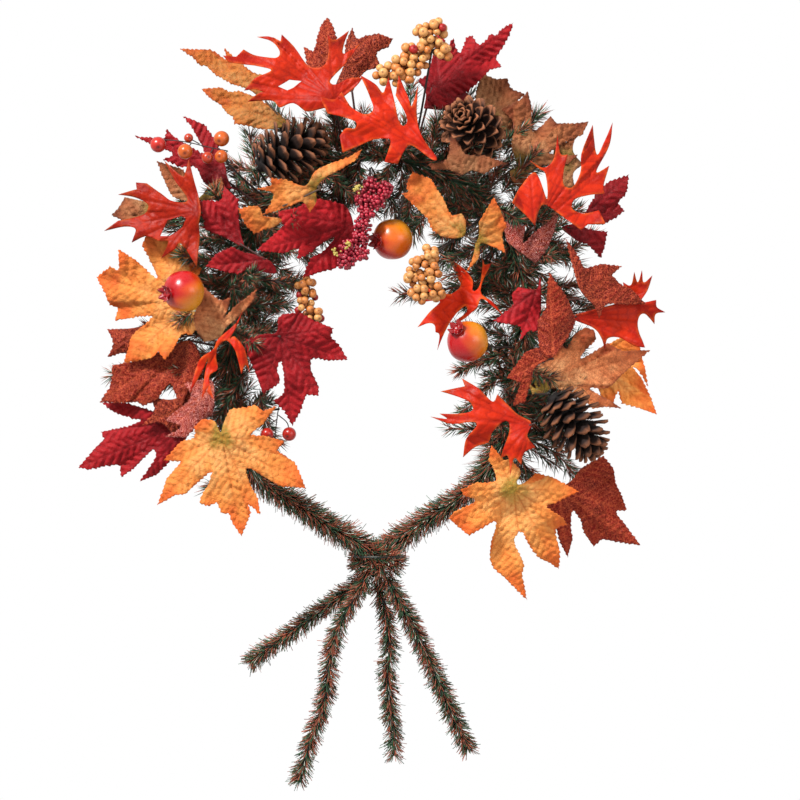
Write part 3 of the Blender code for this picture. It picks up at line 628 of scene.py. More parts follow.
        "s-1,0 t1,15 t-3,22 s-14,21 t-20,34 t-28,47 t-34,57 t-43,60 T-52,64 t-58,50 t-56,43 "
        "T-63,42 t-49,29 t-37,17 s-31,5 s-16,-2"
    ),
    "maple_pair_curled_b": (
        "s0,-2 s3,4 t3,18 t10,29 T17,41 t24,29 T30,13 s26,5 T29,-13 t19,-7 s5,-3 s3,-17 "
        "T-10,-32 s-4,-20 s-1,-8"
    ),
    "tan_leaf_top_right": (
        "s-2,-2 s-7,19 s-4,39 T-17,55 t2,65 T10,74 t14,57 s14,34 t24,39 T33,49 t39,41 t57,42 "
        "T72,44 t65,30 t47,22 s32,11 t53,9 T61,10 t51,0 s24,-2 s12,-8 t7,-18 T1,-24 t-8,-16 "
        "t-9,-8"
    ),
    "tan_leaf_right": (
        "s-3,-3 T-9,10 t-2,20 t10,26 T21,42 s28,38 t36,52 T47,59 t56,56 s57,46 s46,35 s42,27 "
        "s55,34 T69,43 t85,35 t101,36 T114,36 t106,30 t93,19 t83,10 s70,-2 s52,-2 s57,-7 "
        "t71,-14 T84,-23 t68,-21 t55,-23 s42,-13 s16,-3 t5,-8 T-7,-9 t-11,3"
    ),
    "tan_leaf_folded": (
        "s-14,3 t-29,-1 s-38,12 t-40,25 t-33,41 T-32,57 t-23,47 s-12,40 T-2,43 s-5,32 s-9,23 "
        "s3,35 t12,42 T23,52 t18,38 s5,24 s-8,12"
    ),
    "tan_leaf_far_left": (
        "s-2,2 s-12,13 t-22,34 T-49,43 t-45,32 t-38,16 s-31,6 s-12,2 t-2,9 t4,19 T17,26 "
        "t19,18 s14,7"
    ),
    "brown_leaf_curled": (
        "s4,16 t-5,11 t-19,17 t-35,16 T-39,22 s-21,27 T-16,54 t-8,42 s-2,32 t16,31 T39,23 "
        "t26,19 t16,12"
    ),
}

LEAF_GRID, OUTLINE_STEP = 1.5 * MM, 1.2 * MM
CLOTH = 0.4 * MM
TOOTH_SPACING = 4.6 * MM
SHORTEST_VEIN = 12 * MM
VEIN_WIDTH, GROOVE_WIDTH = 0.8 * MM, 1.1 * MM


def inside(points, loop):
    """Which points lie inside the closed loop."""
    x, z = points[:, 0], points[:, 1]
    hit = np.zeros(len(points), bool)
    for (x0, z0), (x1, z1) in zip(loop, np.roll(loop, -1, axis=0)):
        if z0 == z1:
            continue
        crosses = (z0 > z) != (z1 > z)
        hit ^= crosses & (x < (x1 - x0) * (z - z0) / (z1 - z0) + x0)
    return hit


def read_outline(text):
    """The marks and points of an outline, and its holes, in metres."""
    parts = text.split("|")
    marks = [word[0] for word in parts[0].split()]
    points = np.array([[float(c) for c in word[1:].split(",")] for word in parts[0].split()]) * MM
    holes = [np.array([[float(c) for c in word.split(",")] for word in part.split()]) * MM
             for part in parts[1:]]
    return marks, points, holes


def dense_outline(marks, points, tooth, seed):
    """The outline as a close row of points: curved at bays, sharp at corners, with small teeth."""
    n = len(points)
    loop = []
    for i in range(n):
        a, b, c, d = (points[(i + k) % n] for k in (-1, 0, 1, 2))
        if marks[i] != "s":
            a = 2 * b - c
        if marks[(i + 1) % n] != "s":
            d = 2 * c - b
        count = max(2, int(np.linalg.norm(c - b) / OUTLINE_STEP))
        loop += [between(a, b, c, d, k / count) for k in range(count)]
    loop = np.array(loop)
    if tooth:
        rng = np.random.default_rng(seed)
        area = np.sum(loop[:, 0] * np.roll(loop[:, 1], -1) - np.roll(loop[:, 0], -1) * loop[:, 1])
        along = np.roll(loop, -1, axis=0) - np.roll(loop, 1, axis=0)
        length = np.linalg.norm(along, axis=1)[:, None] + 1e-9
        out = np.stack([along[:, 1], -along[:, 0]], axis=1) / length * np.sign(area)
        run = np.cumsum(np.linalg.norm(loop - np.roll(loop, 1, axis=0), axis=1))
        phase = (run / TOOTH_SPACING + 0.25 * np.sin(run / (11 * MM) + rng.uniform(0, 6))) % 1.0
        far = smooth(np.linalg.norm(loop, axis=1), 0.012, 0.030)
        tall = rng.uniform(0.3, 1.5, len(loop) + 1)[np.cumsum(np.diff(phase, prepend=0) < -0.5)]
        loop = loop + out * ((phase - 0.45) * tooth * far * tall)[:, None]
    return loop


def triangulate(loop, holes, grid):
    """The loop filled with small even triangles, with its holes left open."""
    low, high = loop.min(0), loop.max(0)
    xs = np.arange(low[0], high[0], grid)
    zs = np.arange(low[1], high[1], grid * 0.866)
    gx, gz = np.meshgrid(xs, zs)
    gx = gx + (np.arange(len(zs)) % 2)[:, None] * grid / 2
    inner = np.stack([gx.ravel(), gz.ravel()], axis=1)
    keep = inside(inner, loop)
    rims = [loop] + holes
    inner = inner[keep]
    rim = np.vstack(rims)
    for start in range(0, len(rim), 400):
        part = rim[start:start + 400]
        near = ((inner[:, None, :] - part[None]) ** 2).sum(2).min(1)
        inner = inner[near > (0.55 * grid) ** 2]
    for hole in holes:
        inner = inner[~inside(inner, hole)]
    points = np.vstack(rims + [inner])
    edges, start = [], 0
    for r in rims:
        n = len(r)
        edges += [(start + k, start + (k + 1) % n) for k in range(n)]
        start += n
    verts, _, faces, *_ = delaunay_2d_cdt([Vector(p) for p in points], edges, [], 0, 1e-7)
    verts = np.array([tuple(v) for v in verts])
    faces = np.array(faces)
    middle = verts[faces].mean(1)
    keep = inside(middle, loop)
    for hole in holes:
        keep &= ~inside(middle, hole)
    faces = faces[keep]
    used, faces = np.unique(faces, return_inverse=True)
    return verts[used], faces.reshape(-1, 3)


def plate(node):
    """Where the CAD plate lies: y as a smooth function of x and z."""
    co = np.array([v.co for v in frame["nodes"][node].data.vertices], float)
    middle = co.mean(0)

    def basis(x, z):
        x, z = (x - middle[0]) / 0.1, (z - middle[2]) / 0.1
        return np.stack([np.ones_like(x), x, z, x * x, x * z, z * z], axis=-1)

    keep = co[:, 1] < np.median(co[:, 1]) + 0.02
    for _ in range(4):
        a = basis(co[keep, 0], co[keep, 2])
        ridge = np.diag([0, 0.01, 0.01, 0.1, 0.1, 0.1]) * keep.sum() * 0.05
        fit = np.linalg.solve(a.T @ a + ridge, a.T @ co[keep, 1])
        keep = np.abs(basis(co[:, 0], co[:, 2]) @ fit - co[:, 1]) < 0.004
    return lambda x, z: basis(np.asarray(x), np.asarray(z)) @ fit


OLIVE = rgb(150, 140, 52)
# Blades that show only in part, behind others on the same pick: foot, then outline.
BEHIND = {
    "tan_leaf_top_right": [
        ((30, 0.070),
         "t-14,-18 s-12,0 t-10,26 s-8,34 t-4,46 s10,40 t22,41 "
         "s26,30 T40,24 s30,14 t44,4 s30,-4 t34,-20 s12,-22"),
        ((52, 0.092),
         "t-16,-28 s-12,4 t-8,24 s0,16 T12,26 "
         "s8,8 t18,-6 s8,-16 t10,-32"),
    ],
    "tan_leaf_far_left": [
        ((-69, 0.095),
         "t18,-6 s6,-12 t-12,-8 s-24,-6 T-42,2 "
         "s-34,10 t-28,20 s-10,16 t10,14"),
    ],
    "burgundy_leaf_left": [
        ((-118, 0.078),
         "t14,22 s-6,10 t-30,12 s-26,-2 T-38,-16 "
         "s-18,-14 t-6,-28 s6,-14 t16,-10"),
        ((-98, 0.094),
         "t16,20 s-4,10 T-34,8 s-28,-6 t-34,-20 "
         "s-16,-16 t-8,-26 s8,-16 t18,-8"),
    ],
    "crimson_leaf_top_right": [
        ((17, 0.064),
         "t-16,-6 s-14,10 t-22,22 s-12,30 T-4,60 s4,46 "
         "t14,66 s18,54 t28,44 s24,20 t30,4 s10,-8"),
    ],
}

# Tints from the middle to the tips, the main vein and a warm edge; whether the foot is olive; the
# heights of pleats, vein grooves and crinkles, the pleats' spacing, the tips' curl and the edge's
# teeth, in millimetres.
KINDS = {
    "oak": dict(
        near=rgb(212, 46, 2), far=rgb(226, 58, 6), tip=rgb(180, 26, 4), vein=rgb(166, 26, 4),
        edge=rgb(238, 112, 40), olive=False,
        pleat=0.35, space=11.0, groove=1.4, crinkle=0.15, curl=11.0, tooth=0.0),
    "orange": dict(
        near=rgb(255, 190, 118), far=rgb(255, 166, 86), tip=rgb(236, 112, 52), vein=rgb(206, 112, 50),
        edge=rgb(244, 122, 50), olive=True,
        pleat=0.45, space=7.5, groove=1.4, crinkle=0.7, curl=12.0, tooth=1.5),
    "crimson": dict(
        near=rgb(150, 18, 28), far=rgb(186, 34, 42), tip=rgb(196, 42, 46), vein=rgb(112, 8, 18),
        edge=rgb(170, 28, 36), olive=False,
        pleat=1.1, space=8.5, groove=1.6, crinkle=0.5, curl=11.0, tooth=1.7),
    "burgundy": dict(
        near=rgb(136, 26, 14), far=rgb(156, 36, 20), tip=rgb(162, 42, 26), vein=rgb(220, 112, 70),
        edge=rgb(130, 30, 22), olive=False,
        pleat=0.6, space=7.0, groove=0.8, crinkle=0.5, curl=9.0, tooth=1.5),
    "tan": dict(
        near=rgb(236, 174, 124), far=rgb(214, 134, 88), tip=rgb(160, 78, 48), vein=rgb(170, 98, 62),
        edge=rgb(130, 70, 48), olive=True,
        pleat=0.6, space=7.0, groove=1.0, crinkle=0.9, curl=10.0, tooth=1.3),
}
# Picks with a shade of their own: what the tint is multiplied by, partly the leaf's own tone and partly
# painted light and shade for where it sits, and the curl in millimetres.
SHADES = {
    "burgundy_leaf_left": (0.85, 9), "burgundy_leaf_right": (0.82, 9), "oak_leaf_top_left": (0.85, 9),
    "maple_leaf_lower_right": (1.15, 11),
    "oak_leaf_top": (1.0, 5), "crimson_leaf_inner_left": (1.0, 4), "oak_leaf_lower_right": (1.0, 8),
    "oak_leaf_left": (0.64, 3), "oak_leaf_inner_right": (1.3, 12), "oak_leaf_folded_left": (1.1, 12),
    "oak_leaf_right": (1.0, 14), "maple_leaf_far_right": (1.4, 8), "maple_pair_top_left": (0.6, 9),
    "maple_pair_top": (0.80, 5), "maple_pair_curled": (0.85, 16), "crimson_leaf_inner_top": (1.25, 10),
    "crimson_leaf_far_left": (0.9, 6), "crimson_pair_right": (0.72, 8), "crimson_pair_left": (0.95, 9),
    "crimson_leaf_small": (1.2, 12), "burgundy_leaf_crown": (0.6, 7), "burgundy_leaf_top": (0.85, 5),
    "burgundy_leaf_turned": (1.05, 8), "tan_leaf_right": (2.1, 8), "tan_leaf_folded": (1.3, 10),
    "tan_leaf_top_right": (0.9, 9), "brown_leaf_curled": (0.65, 12), "tan_leaf_far_left": (0.9, 7),
}
# Burgundy picks that show their rose side, and how much a blade behind others is darkened as painted shade.
ROSE = {"burgundy_leaf_turned", "burgundy_leaf_inner"}
BEHIND_PAINTED_SHADE, BEHIND_CURL, BEHIND_BACK = 0.85, 0.4, 3.0 * MM
BLADE_STEP = 0.8 * MM
STALK_RADIUS = 1.1 * MM


def leaf_blade(text, kind, seed, shade, curl, foot, y_at, lift):
    """One blade in the wreath's plane: its points, triangles and tint."""
    look = KINDS[kind]
    marks, corners, holes = read_outline(text)
    loop = dense_outline(marks, corners, look["tooth"] * MM, seed)
    flat, faces = triangulate(loop, holes, LEAF_GRID)
    tips = [p for m, p in zip(marks, corners) if m == "T"]
    veins = [(p / np.linalg.norm(p), np.linalg.norm(p)) for p in tips if np.linalg.norm(p) > SHORTEST_VEIN]
    along = np.stack([flat @ d for d, _ in veins], axis=1)
    across = np.stack([flat[:, 0] * d[1] - flat[:, 1] * d[0] for d, _ in veins], axis=1)
    reach = np.array([r for _, r in veins])
    beyond = along - np.clip(along, 0, reach)
    distance = np.sqrt(across ** 2 + beyond ** 2) * (1 + 0.15 * (reach.max() / reach - 1))
    best = distance.argmin(1)
    rows = np.arange(len(flat))
    s, d = along[rows, best], np.abs(across[rows, best])
    share = np.clip(s / reach[best], 0, 1)
    rng = np.random.default_rng(seed)
    weight = np.exp(-distance / (7 * MM))
    weight /= weight.sum(1, keepdims=True)
    rim = np.full(len(flat), 1e9)
    for start in range(0, len(loop), 300):
        part = loop[start:start + 300]
        rim = np.minimum(rim, ((flat[:, None] - part[None]) ** 2).sum(2).min(1))
    rim = np.sqrt(rim)
    # relief: towards the viewer is positive
    bend = rng.uniform(-1, 1, len(veins))
    fold = rng.uniform(-2.0, 3.2, len(veins))
    tip_curl = (weight * bend * np.clip(along / reach, 0, 1.2) ** 2).sum(1) * curl * MM
    side_curl = -(weight * np.clip(np.abs(across) / (14 * MM), 0, 1.5) ** 2).sum(1) * 2.6 * MM
    side_curl += 0.10 * np.abs(across[rows, best]) * fold[best] * smooth(share, 0.1, 0.5)
    phase = (s - 0.85 * d) / (look["space"] * MM) + 0.2 * np.sin(s / (9 * MM) + seed)
    wave = np.cos(2 * math.pi * phase)
    pleat = look["pleat"] * MM * wave * smooth(d, 0.4 * MM, 4 * MM) * smooth(share, 0.05, 0.3)
    groove = -look["groove"] * MM * np.exp(-(d / GROOVE_WIDTH) ** 2) * (1 - 0.6 * share)
    crinkle = look["crinkle"] * MM * (ripple(flat[:, 0], flat[:, 1], 7 * MM, seed + 5)
                                      + 0.6 * ripple(flat[:, 0], flat[:, 1], 3.4 * MM, seed + 6))
    roll = 3.0 * MM * ripple(flat[:, 0], flat[:, 1], 42 * MM, seed + 7)
    height = tip_curl + side_curl + pleat + groove + crinkle * smooth(rim, 0, 3 * MM) + roll
    x, z = foot.x + flat[:, 0], foot.z + flat[:, 1]
    points = np.stack([x, y_at(x, z) - height - lift, z], axis=1)
    # tint
    blot = ripple(flat[:, 0], flat[:, 1], 16 * MM, seed + 1)
    tint = mix(look["near"], look["far"], smooth(share + 0.12 * blot, 0.15, 0.7))
    tint = mix(tint, look["tip"], 0.9 * smooth(share + 0.10 * blot, 0.6, 0.98))
    tint = mix(tint, look["edge"], 0.8 * (1 - smooth(rim, 0, 3.2 * MM)) * smooth(blot, -0.7, 0.7))
    side_vein = np.exp(-((1 + wave) / 0.16)) * smooth(d, 0, 1 * MM)
    tint = mix(tint, look["vein"], 0.55 * side_vein)
    tint = mix(tint, look["vein"], 0.75 * np.exp(-(d / VEIN_WIDTH) ** 2) * (1 - 0.6 * share))
    if look["olive"]:
        near = np.linalg.norm(flat, axis=1)
        tint = mix(tint, OLIVE, 0.75 * (1 - smooth(near + 3 * MM * blot, 6 * MM, 17 * MM)))
    # The tint times the pick's shade: partly the leaf's own tone, partly painted light and shade.
    return points, faces, tint * shade


def stem_route(foot):
    """A bowed wire behind the blade, from its foot back to the garland."""
    start = np.array(foot) + np.array((0, 1.2 * MM, 0))
    back = garland_foot(start)
    dip = np.array((0, 0.25 * np.linalg.norm((back - start) * (1, 0, 1)), 0))
    middle = (start + back) / 2 + np.minimum(dip, max(0.0, back[1] - start[1]) * 0.4)
    return smooth_path([start, middle, back], 8)


def make_leaf(node, kind, feet):
    """A pick: its blades with a cloth's thickness, and its stem."""
    y_at = plate(node)
    shade, curl = SHADES.get(node, (1.0, KINDS[kind]["curl"]))
    seed = sum(ord(c) * (i + 3) for i, c in enumerate(node)) % 9973

    def on_plate(clock, outwards):
        foot = on_ring(clock, outwards)
        foot.y = float(y_at(foot.x, foot.z))
        return foot

    feet = [on_plate(*place) for place in feet]
    batch = Batch()
    for i, foot in enumerate(feet):
        text = OUTLINES[node + ("_b" if i else "")]
        batch.put(*leaf_blade(text, kind, seed + 31 * i, shade, curl, foot, y_at, BLADE_STEP * i))
    # Blades behind others are set back and painted darker, as shade.
    for i, (place, text) in enumerate(BEHIND.get(node, ()), 1):
        batch.put(*leaf_blade(text, kind, seed + 77 * i, shade * BEHIND_PAINTED_SHADE, curl * BEHIND_CURL,
                              on_plate(*place), y_at, -BEHIND_BACK))
    leaf = batch.build(node + "_cloth", [MATERIALS["rose" if node in ROSE else kind]])
    thick = leaf.modifiers.new("cloth", "SOLIDIFY")
    thick.thickness = CLOTH
    thick.offset = 0.0
    finish_piece(leaf, node)
    stalk = Batch()
    tint = rgb(104, 70, 42) if KINDS[kind]["olive"] else rgb(96, 44, 30)
    tube(stalk, stem_route(feet[0]), STALK_RADIUS, tint, 8)
    for foot in feet[1:]:
        middle = (feet[0] + foot) / 2 + Vector((0, 0.001, 0))
        tube(stalk, smooth_path([feet[0], middle, foot], 4), 0.9 * MM, tint, 8)
    finish_wire(stalk.build(node + "_stem", [STEM]), node)


for leaf_kind, picks in PICKS.items():
    for leaf_name, leaf_feet in picks.items():
        make_leaf(leaf_name, leaf_kind, leaf_feet)


# ---- pine -------------------------------------------------------------------------------------
# Green, dark and brown are the needles' own colours; the near-white colour is a painted highlight, given to
# a small share of needles to stand for glints of light on them.
GREEN, DARK, BROWN, PAINTED_HIGHLIGHT = rgb(82, 124, 84), rgb(36, 56, 42), rgb(206, 116, 84), rgb(236, 238, 220)
DARK_SHARE, PAINTED_HIGHLIGHT_SHARE = 0.12, 0.05
# Half widths of the needles in the garland and on the bare wires, and the share of brown needles.
NEEDLE, BARE_NEEDLE = 0.65 * MM, 0.5 * MM
GARLAND_BROWN, TUFT_BROWN = 0.36, 0.38


def needles(rng, roots, along, radial, length, width, brown, lean=(35, 65), blunt=False):
    """Thin needles from each root outwards and along the wire: pointed at both ends, or cut off."""
    n = len(roots)
    angle = np.radians(rng.uniform(*lean, n))[:, None]
    direction = along * np.cos(angle) + radial * np.sin(angle) + rng.normal(0, 0.10, (n, 3))
    direction /= np.linalg.norm(direction, axis=1)[:, None]
    length = (length * rng.uniform(0.72, 1.05, n))[:, None]
    side = np.cross(direction, rng.normal(0, 1, (n, 3)))
    side /= np.linalg.norm(side, axis=1)[:, None]
    up = np.cross(direction, side)
    pick = rng.random(n)[:, None]
    colour = np.where(pick < brown, BROWN, np.where(pick < brown + DARK_SHARE, DARK, GREEN))
    # A small share of needles gets the near-white painted highlight.
    colour = np.where(pick > 1 - PAINTED_HIGHLIGHT_SHARE, PAINTED_HIGHLIGHT, colour) * rng.uniform(0.6, 1.4, n)[:, None]
    ring = [side * width, (0.6 * up - 0.5 * side) * width, -(0.6 * up + 0.5 * side) * width]
    if blunt:
        tips = roots + direction * length
        points = np.stack([roots + r for r in ring] + [tips + 0.8 * r for r in ring], axis=1)
        corners = ((0, 1, 4, 3), (1, 2, 5, 4), (2, 0, 3, 5), (2, 1, 0), (3, 4, 5))
        faces = [f for q in corners for f in (np.arange(n)[:, None] * 6 + q).tolist()]
        return points.reshape(-1, 3), faces, np.repeat(colour, 6, axis=0)
    belly = roots + direction * length * 0.45
    bow = up * rng.uniform(-0.12, 0.12, n)[:, None] * length
    tips = roots + direction * length + bow
    points = np.stack([roots, *(belly + r for r in ring), tips], axis=1)
    corners = np.array([(2, 1, 0), (3, 2, 0), (1, 3, 0), (1, 2, 4), (2, 3, 4), (3, 1, 4)])
    faces = (np.arange(n)[:, None, None] * 5 + corners).reshape(-1, 3).tolist()
    return points.reshape(-1, 3), faces, np.repeat(colour, 5, axis=0)


def along_path(rng, path, count, core):
    """Roots on a wire: their places, the wire's direction there and a way out of it."""
    path = np.asarray(path, float)
    tangent, side, up = frames_along(path)
    run = np.concatenate([[0], np.cumsum(np.linalg.norm(np.diff(path, axis=0), axis=1))])
    at = rng.uniform(0, run[-1], count)
    at.sort()

    def spread(values):
        return np.stack([np.interp(at, run, values[:, k]) for k in range(3)], axis=1)

    turn = rng.uniform(0, 2 * math.pi, count)[:, None]
    radial = spread(side) * np.cos(turn) + spread(up) * np.sin(turn)
    radial /= np.linalg.norm(radial, axis=1)[:, None]
    along = spread(tangent)
    return spread(path) + radial * core, along, radial


def tuft(rng, batch, start, direction, length, reach, count):
    """A short pine tip: a wire with needles along it, fuller towards its end."""
    start, direction = np.array(start, float), np.array(direction, float)
    direction /= np.linalg.norm(direction)
    bow = rng.normal(0, 0.12, 3)
    path = smooth_path([start, start + direction * length * 0.5 + bow * length * 0.3,
                        start + direction * length], 5)
    tube(batch, path, 0.8 * MM, BROWN * 0.5, 5)
    roots = along_path(rng, path, count, 0.3 * MM)
    batch.put(*needles(rng, *roots, reach, NEEDLE, TUFT_BROWN, (20, 60)))


def low(*rows):
    """Long tips that lie flat, each from a clock, outwards, forward, heading and rise."""
    return [(*row[:2], row[2] - 5, row[3], row[4] - 14, 58, 19) for row in rows]


# Loose pine tips on each side: clock degrees, twice the outwards place, forward of the hoop, heading,
# rise to the front, length and needle reach, in millimetres.
TIPS = {
    "pine_garland_left": [
        (-20, -10, 20, 130, 20, 50, 18), (-8, -16, 16, 170, 20, 46, 16), (-30, -20, 16, 150, 15, 56, 18),
        (-48, -20, 18, 120, 20, 58, 18), (-62, -22, 14, 110, 20, 56, 18), (-78, -20, 14, 100, 15, 56, 18),
        (-92, -20, 14, 85, 15, 50, 16), (-104, -16, 14, 70, 10, 44, 16), (-96, 70, 10, -95, 5, 52, 16),
        (-106, 60, 10, -110, 5, 52, 16), (-60, 20, 20, -40, 30, 50, 18), (-75, 20, 24, -80, 30, 50, 18),
        (-118, 10, 16, -150, 10, 56, 18), (-128, 6, 14, 160, 10, 50, 16), (-38, 22, 20, -20, 10, 44, 16),
        (-15, 22, 18, -5, 25, 46, 18), (-5, 12, 20, 20, 30, 44, 18), (-88, 24, 24, -120, 30, 50, 18),
        (-112, 40, 14, -95, 10, 48, 16), (-52, -6, 30, 100, 45, 44, 16), (-70, 0, 30, 160, 45, 44, 16),
        (-100, 6, 30, 120, 45, 44, 16), (-33, 4, 28, 90, 45, 44, 18), (-85, 4, 30, 60, 45, 44, 16),
        *low(
            (-18, 40, 8, -60, 10), (-28, 34, 8, -30, 10), (-36, 30, 10, -80, 10),
            (-58, 30, 10, -30, 10), (-66, 36, 10, -50, 10), (-74, 36, 12, -90, 10),
            (-84, 30, 12, -60, 10), (-98, 34, 10, -80, 5), (-100, 50, 8, -100, 5),
            (-108, 30, 8, -120, 5), (-114, 30, 10, -100, 5), (-120, 20, 10, -130, 5),
            (-46, 40, 8, -10, 10), (-10, 30, 8, -30, 10), (-24, -24, 14, 120, 10),
            (-40, -26, 14, 160, 10), (-55, -28, 14, 100, 10), (-68, -28, 12, 130, 10),
            (-84, -26, 12, 80, 10), (-98, -22, 12, 110, 10), (-110, -16, 12, 30, 10),
            (-3, -18, 14, 150, 10), (-14, -22, 14, 200, 10), (-68, 90, 10, -70, 5),
            (-62, 70, 10, -90, 5), (-105, 150, 8, -105, 5), (-72, 60, 10, -60, 5),
            (-116, 70, 10, -90, 5)),
        (-3, 0, 14, 80, 20, 42, 17), (-2, 2, 12, 60, 40, 36, 16),
    ],
    "pine_garland_right": [
        (5, -14, 18, 200, 20, 46, 16), (16, -18, 16, 190, 15, 50, 16), (30, -18, 16, 215, 20, 54, 18),
        (46, -20, 16, 235, 15, 50, 16), (60, -22, 18, 240, 20, 56, 18), (74, -24, 16, 262, 15, 62, 18),
        (92, -22, 16, 270, 10, 56, 18), (104, -22, 16, 280, 10, 54, 16), (112, -22, 16, 250, 10, 50, 16),
        (122, -12, 16, 225, 10, 46, 16), (36, 66, 6, 52, 5, 54, 17), (48, 40, 10, 40, 10, 54, 17),
        (128, 70, 18, 100, 10, 62, 18), (126, 52, 14, 80, 10, 52, 16), (20, 14, 24, 10, 30, 44, 18),
        (8, 20, 22, -20, 30, 46, 18), (30, 6, 34, 40, 45, 44, 18), (52, 6, 30, 90, 45, 50, 18),
        (46, -4, 34, 120, 45, 54, 18), (70, 4, 30, 100, 45, 46, 16), (84, 0, 28, 200, 45, 44, 16),
        (98, 10, 30, 60, 45, 44, 16), (110, 8, 26, 130, 40, 50, 18), (124, 10, 24, 150, 40, 46, 18),
        (66, 24, 14, 70, 20, 44, 16), (136, 14, 20, 120, 20, 50, 18),
        *low(
            (8, 36, 8, 10, 10), (18, 36, 10, 40, 10), (28, 56, 8, 10, 5), (34, 70, 6, 40, 5),
            (26, 40, 10, 60, 10), (44, 50, 8, 70, 5), (52, 50, 8, 100, 5), (60, 44, 8, 80, 5),
            (66, 40, 10, 120, 5), (76, 50, 8, 60, 5), (84, 44, 10, 110, 5), (94, 40, 10, 80, 5),
            (102, 50, 8, 120, 5), (112, 36, 10, 60, 5), (118, 44, 12, 100, 5), (132, 44, 12, 110, 5),
            (10, -22, 14, 170, 10), (24, -24, 14, 200, 10), (38, -28, 14, 190, 10),
            (50, -26, 14, 230, 10), (62, -30, 14, 250, 10), (72, -26, 14, 230, 10),
            (86, -26, 14, 280, 10), (130, 10, 18, 60, 20), (40, 100, 8, 40, 5), (132, 60, 12, 60, 10),
            (136, 70, 12, 90, 10), (122, 64, 12, 150, 10)),
        (132, 110, 12, 128, 5, 60, 19), (128, 100, 10, 112, 5, 56, 19), (136, 100, 12, 142, 5, 56, 19),
        (3, 0, 16, -80, 20, 42, 17), (1, 4, 14, -60, 35, 36, 16), (78, -120, 10, 262, 5, 66, 18),
        (128, 84, 36, 98, 8, 64, 18),
    ],
}

GARLAND_TUFTS = 94


def make_garland(node, path, seed):
    """The thick pine round one side of the hoop, with tufts and loose tips."""
    rng = np.random.default_rng(seed)
    batch = Batch()
    tube(batch, path, 2.6 * MM, DARK * 0.6, 8)
    for count, reach, lean in ((3000, 30 * MM, (25, 60)), (2600, 20 * MM, (45, 80))):
        roots = along_path(rng, path, count, 2 * MM)
        batch.put(*needles(rng, *roots, reach, NEEDLE, GARLAND_BROWN, lean))
    for i in range(GARLAND_TUFTS):
        at = path[int((i + rng.random()) / GARLAND_TUFTS * (len(path) - 1))]
        out = (at - np.array(CENTRE)) * (1, 0, 1)
        out /= np.linalg.norm(out)
        tangent = np.array((out[2], 0, -out[0]))
        way = (out * rng.choice((-1, 1)) * rng.uniform(0.4, 1.0) + tangent * rng.uniform(-0.8, 0.8)
               + np.array((0, -1, 0)) * rng.uniform(-0.15, 0.32))
        tuft(rng, batch, at, way, rng.uniform(0.036, 0.062), 16 * MM, 130)
    for clock, outwards, forward, heading, rise, size, reach in TIPS[node]:
        start = on_ring(clock, outwards * MM * 0.5, HOOP_Y - forward * MM)
        rise = math.radians(rise)
        way = towards(heading) * math.cos(rise) + Vector((0, -math.sin(rise), 0))
        tuft(rng, batch, start, way, size * MM, reach * MM, 200)
    finish_piece(batch.build(node + "_needles", [PINE]), node)


def make_bare(node, path, radius, per_metre, seed, knot=None):
    """A thin pine wire with short blunt needles, and a bush of them round the knot if it has one."""
    rng = np.random.default_rng(seed)
    length = np.linalg.norm(np.diff(path, axis=0), axis=1).sum()
    batch = Batch()
    tube(batch, path, 2.2 * MM, DARK * 0.6, 8)
    roots = along_path(rng, path, int(length * per_metre), 1.5 * MM)
    batch.put(*needles(rng, *roots, radius * 1.38, BARE_NEEDLE, 0.42, (36, 64), True))
    some = [values[::4] for values in roots]
    batch.put(*needles(rng, *some, radius * 1.65, 0.9 * BARE_NEEDLE, 0.46, (30, 80), True))
    if knot is not None:
        way = rng.normal(0, 1, (900, 3)) * (1, 0.8, 0.8)
        way /= np.linalg.norm(way, axis=1)[:, None]
        roots = knot + way * (19 * MM, 20 * MM, 13 * MM) - (0, 0, 5 * MM)
        aside = np.roll(way, 1, axis=0)
        batch.put(*needles(rng, roots, way, aside, 14 * MM, BARE_NEEDLE, 0.5, (0, 60), True))
    finish_piece(batch.build(node + "_needles", [PINE]), node)


KNOT = np.array(CENTRE) + np.array((-0.001, 0, -0.255))
make_garland("pine_garland_left", LEFT[2:SPLIT_LEFT + 1], 11)
make_garland("pine_garland_right", RIGHT[2:SPLIT_RIGHT + 1], 12)
make_bare("pine_arm_left", LEFT[SPLIT_LEFT:], ARM_RADIUS, 12500, 13)
make_bare("pine_arm_right", RIGHT[SPLIT_RIGHT:], ARM_RADIUS, 12500, 14, KNOT)

# Each tail's points, as metres to the right of and below the knot.
TAILS = {
    "pine_tail_far_left": [(-0.020, 0.029), (-0.068, 0.064), (-0.129, 0.108)],
    "pine_tail_left": [(-0.019, 0.036), (-0.043, 0.081), (-0.053, 0.145), (-0.066, 0.181),
                       (-0.079, 0.228)],
    "pine_tail_right": [(0.002, 0.036), (0.009, 0.059), (0.013, 0.102), (0.010, 0.118), (0.016, 0.181),
                        (0.017, 0.204)],
    "pine_tail_far_right": [(0.016, 0.034), (0.039, 0.077), (0.066, 0.136), (0.092, 0.195)],
}
JOINT_AT = {j["child"]: Vector(j["pos_m"]) for j in frame["joints"]}
for k, (tail, places) in enumerate(TAILS.items()):
    root = JOINT_AT[tail]
    first = places[0]
    route = smooth_path([np.array((root.x + x - first[0], root.y, root.z + first[1] - drop))
                         for x, drop in places], 6)
    above = KNOT * (1, 0, 1) + np.array((0.62 * first[0], root.y, -0.62 * first[1]))
    lead = [above + (route[0] - above) * t for t in (0, 0.33, 0.66)]
    make_bare(tail, np.vstack([lead, route]), TAIL_RADIUS, 6200 if k in (1, 2) else 8600, 20 + k)


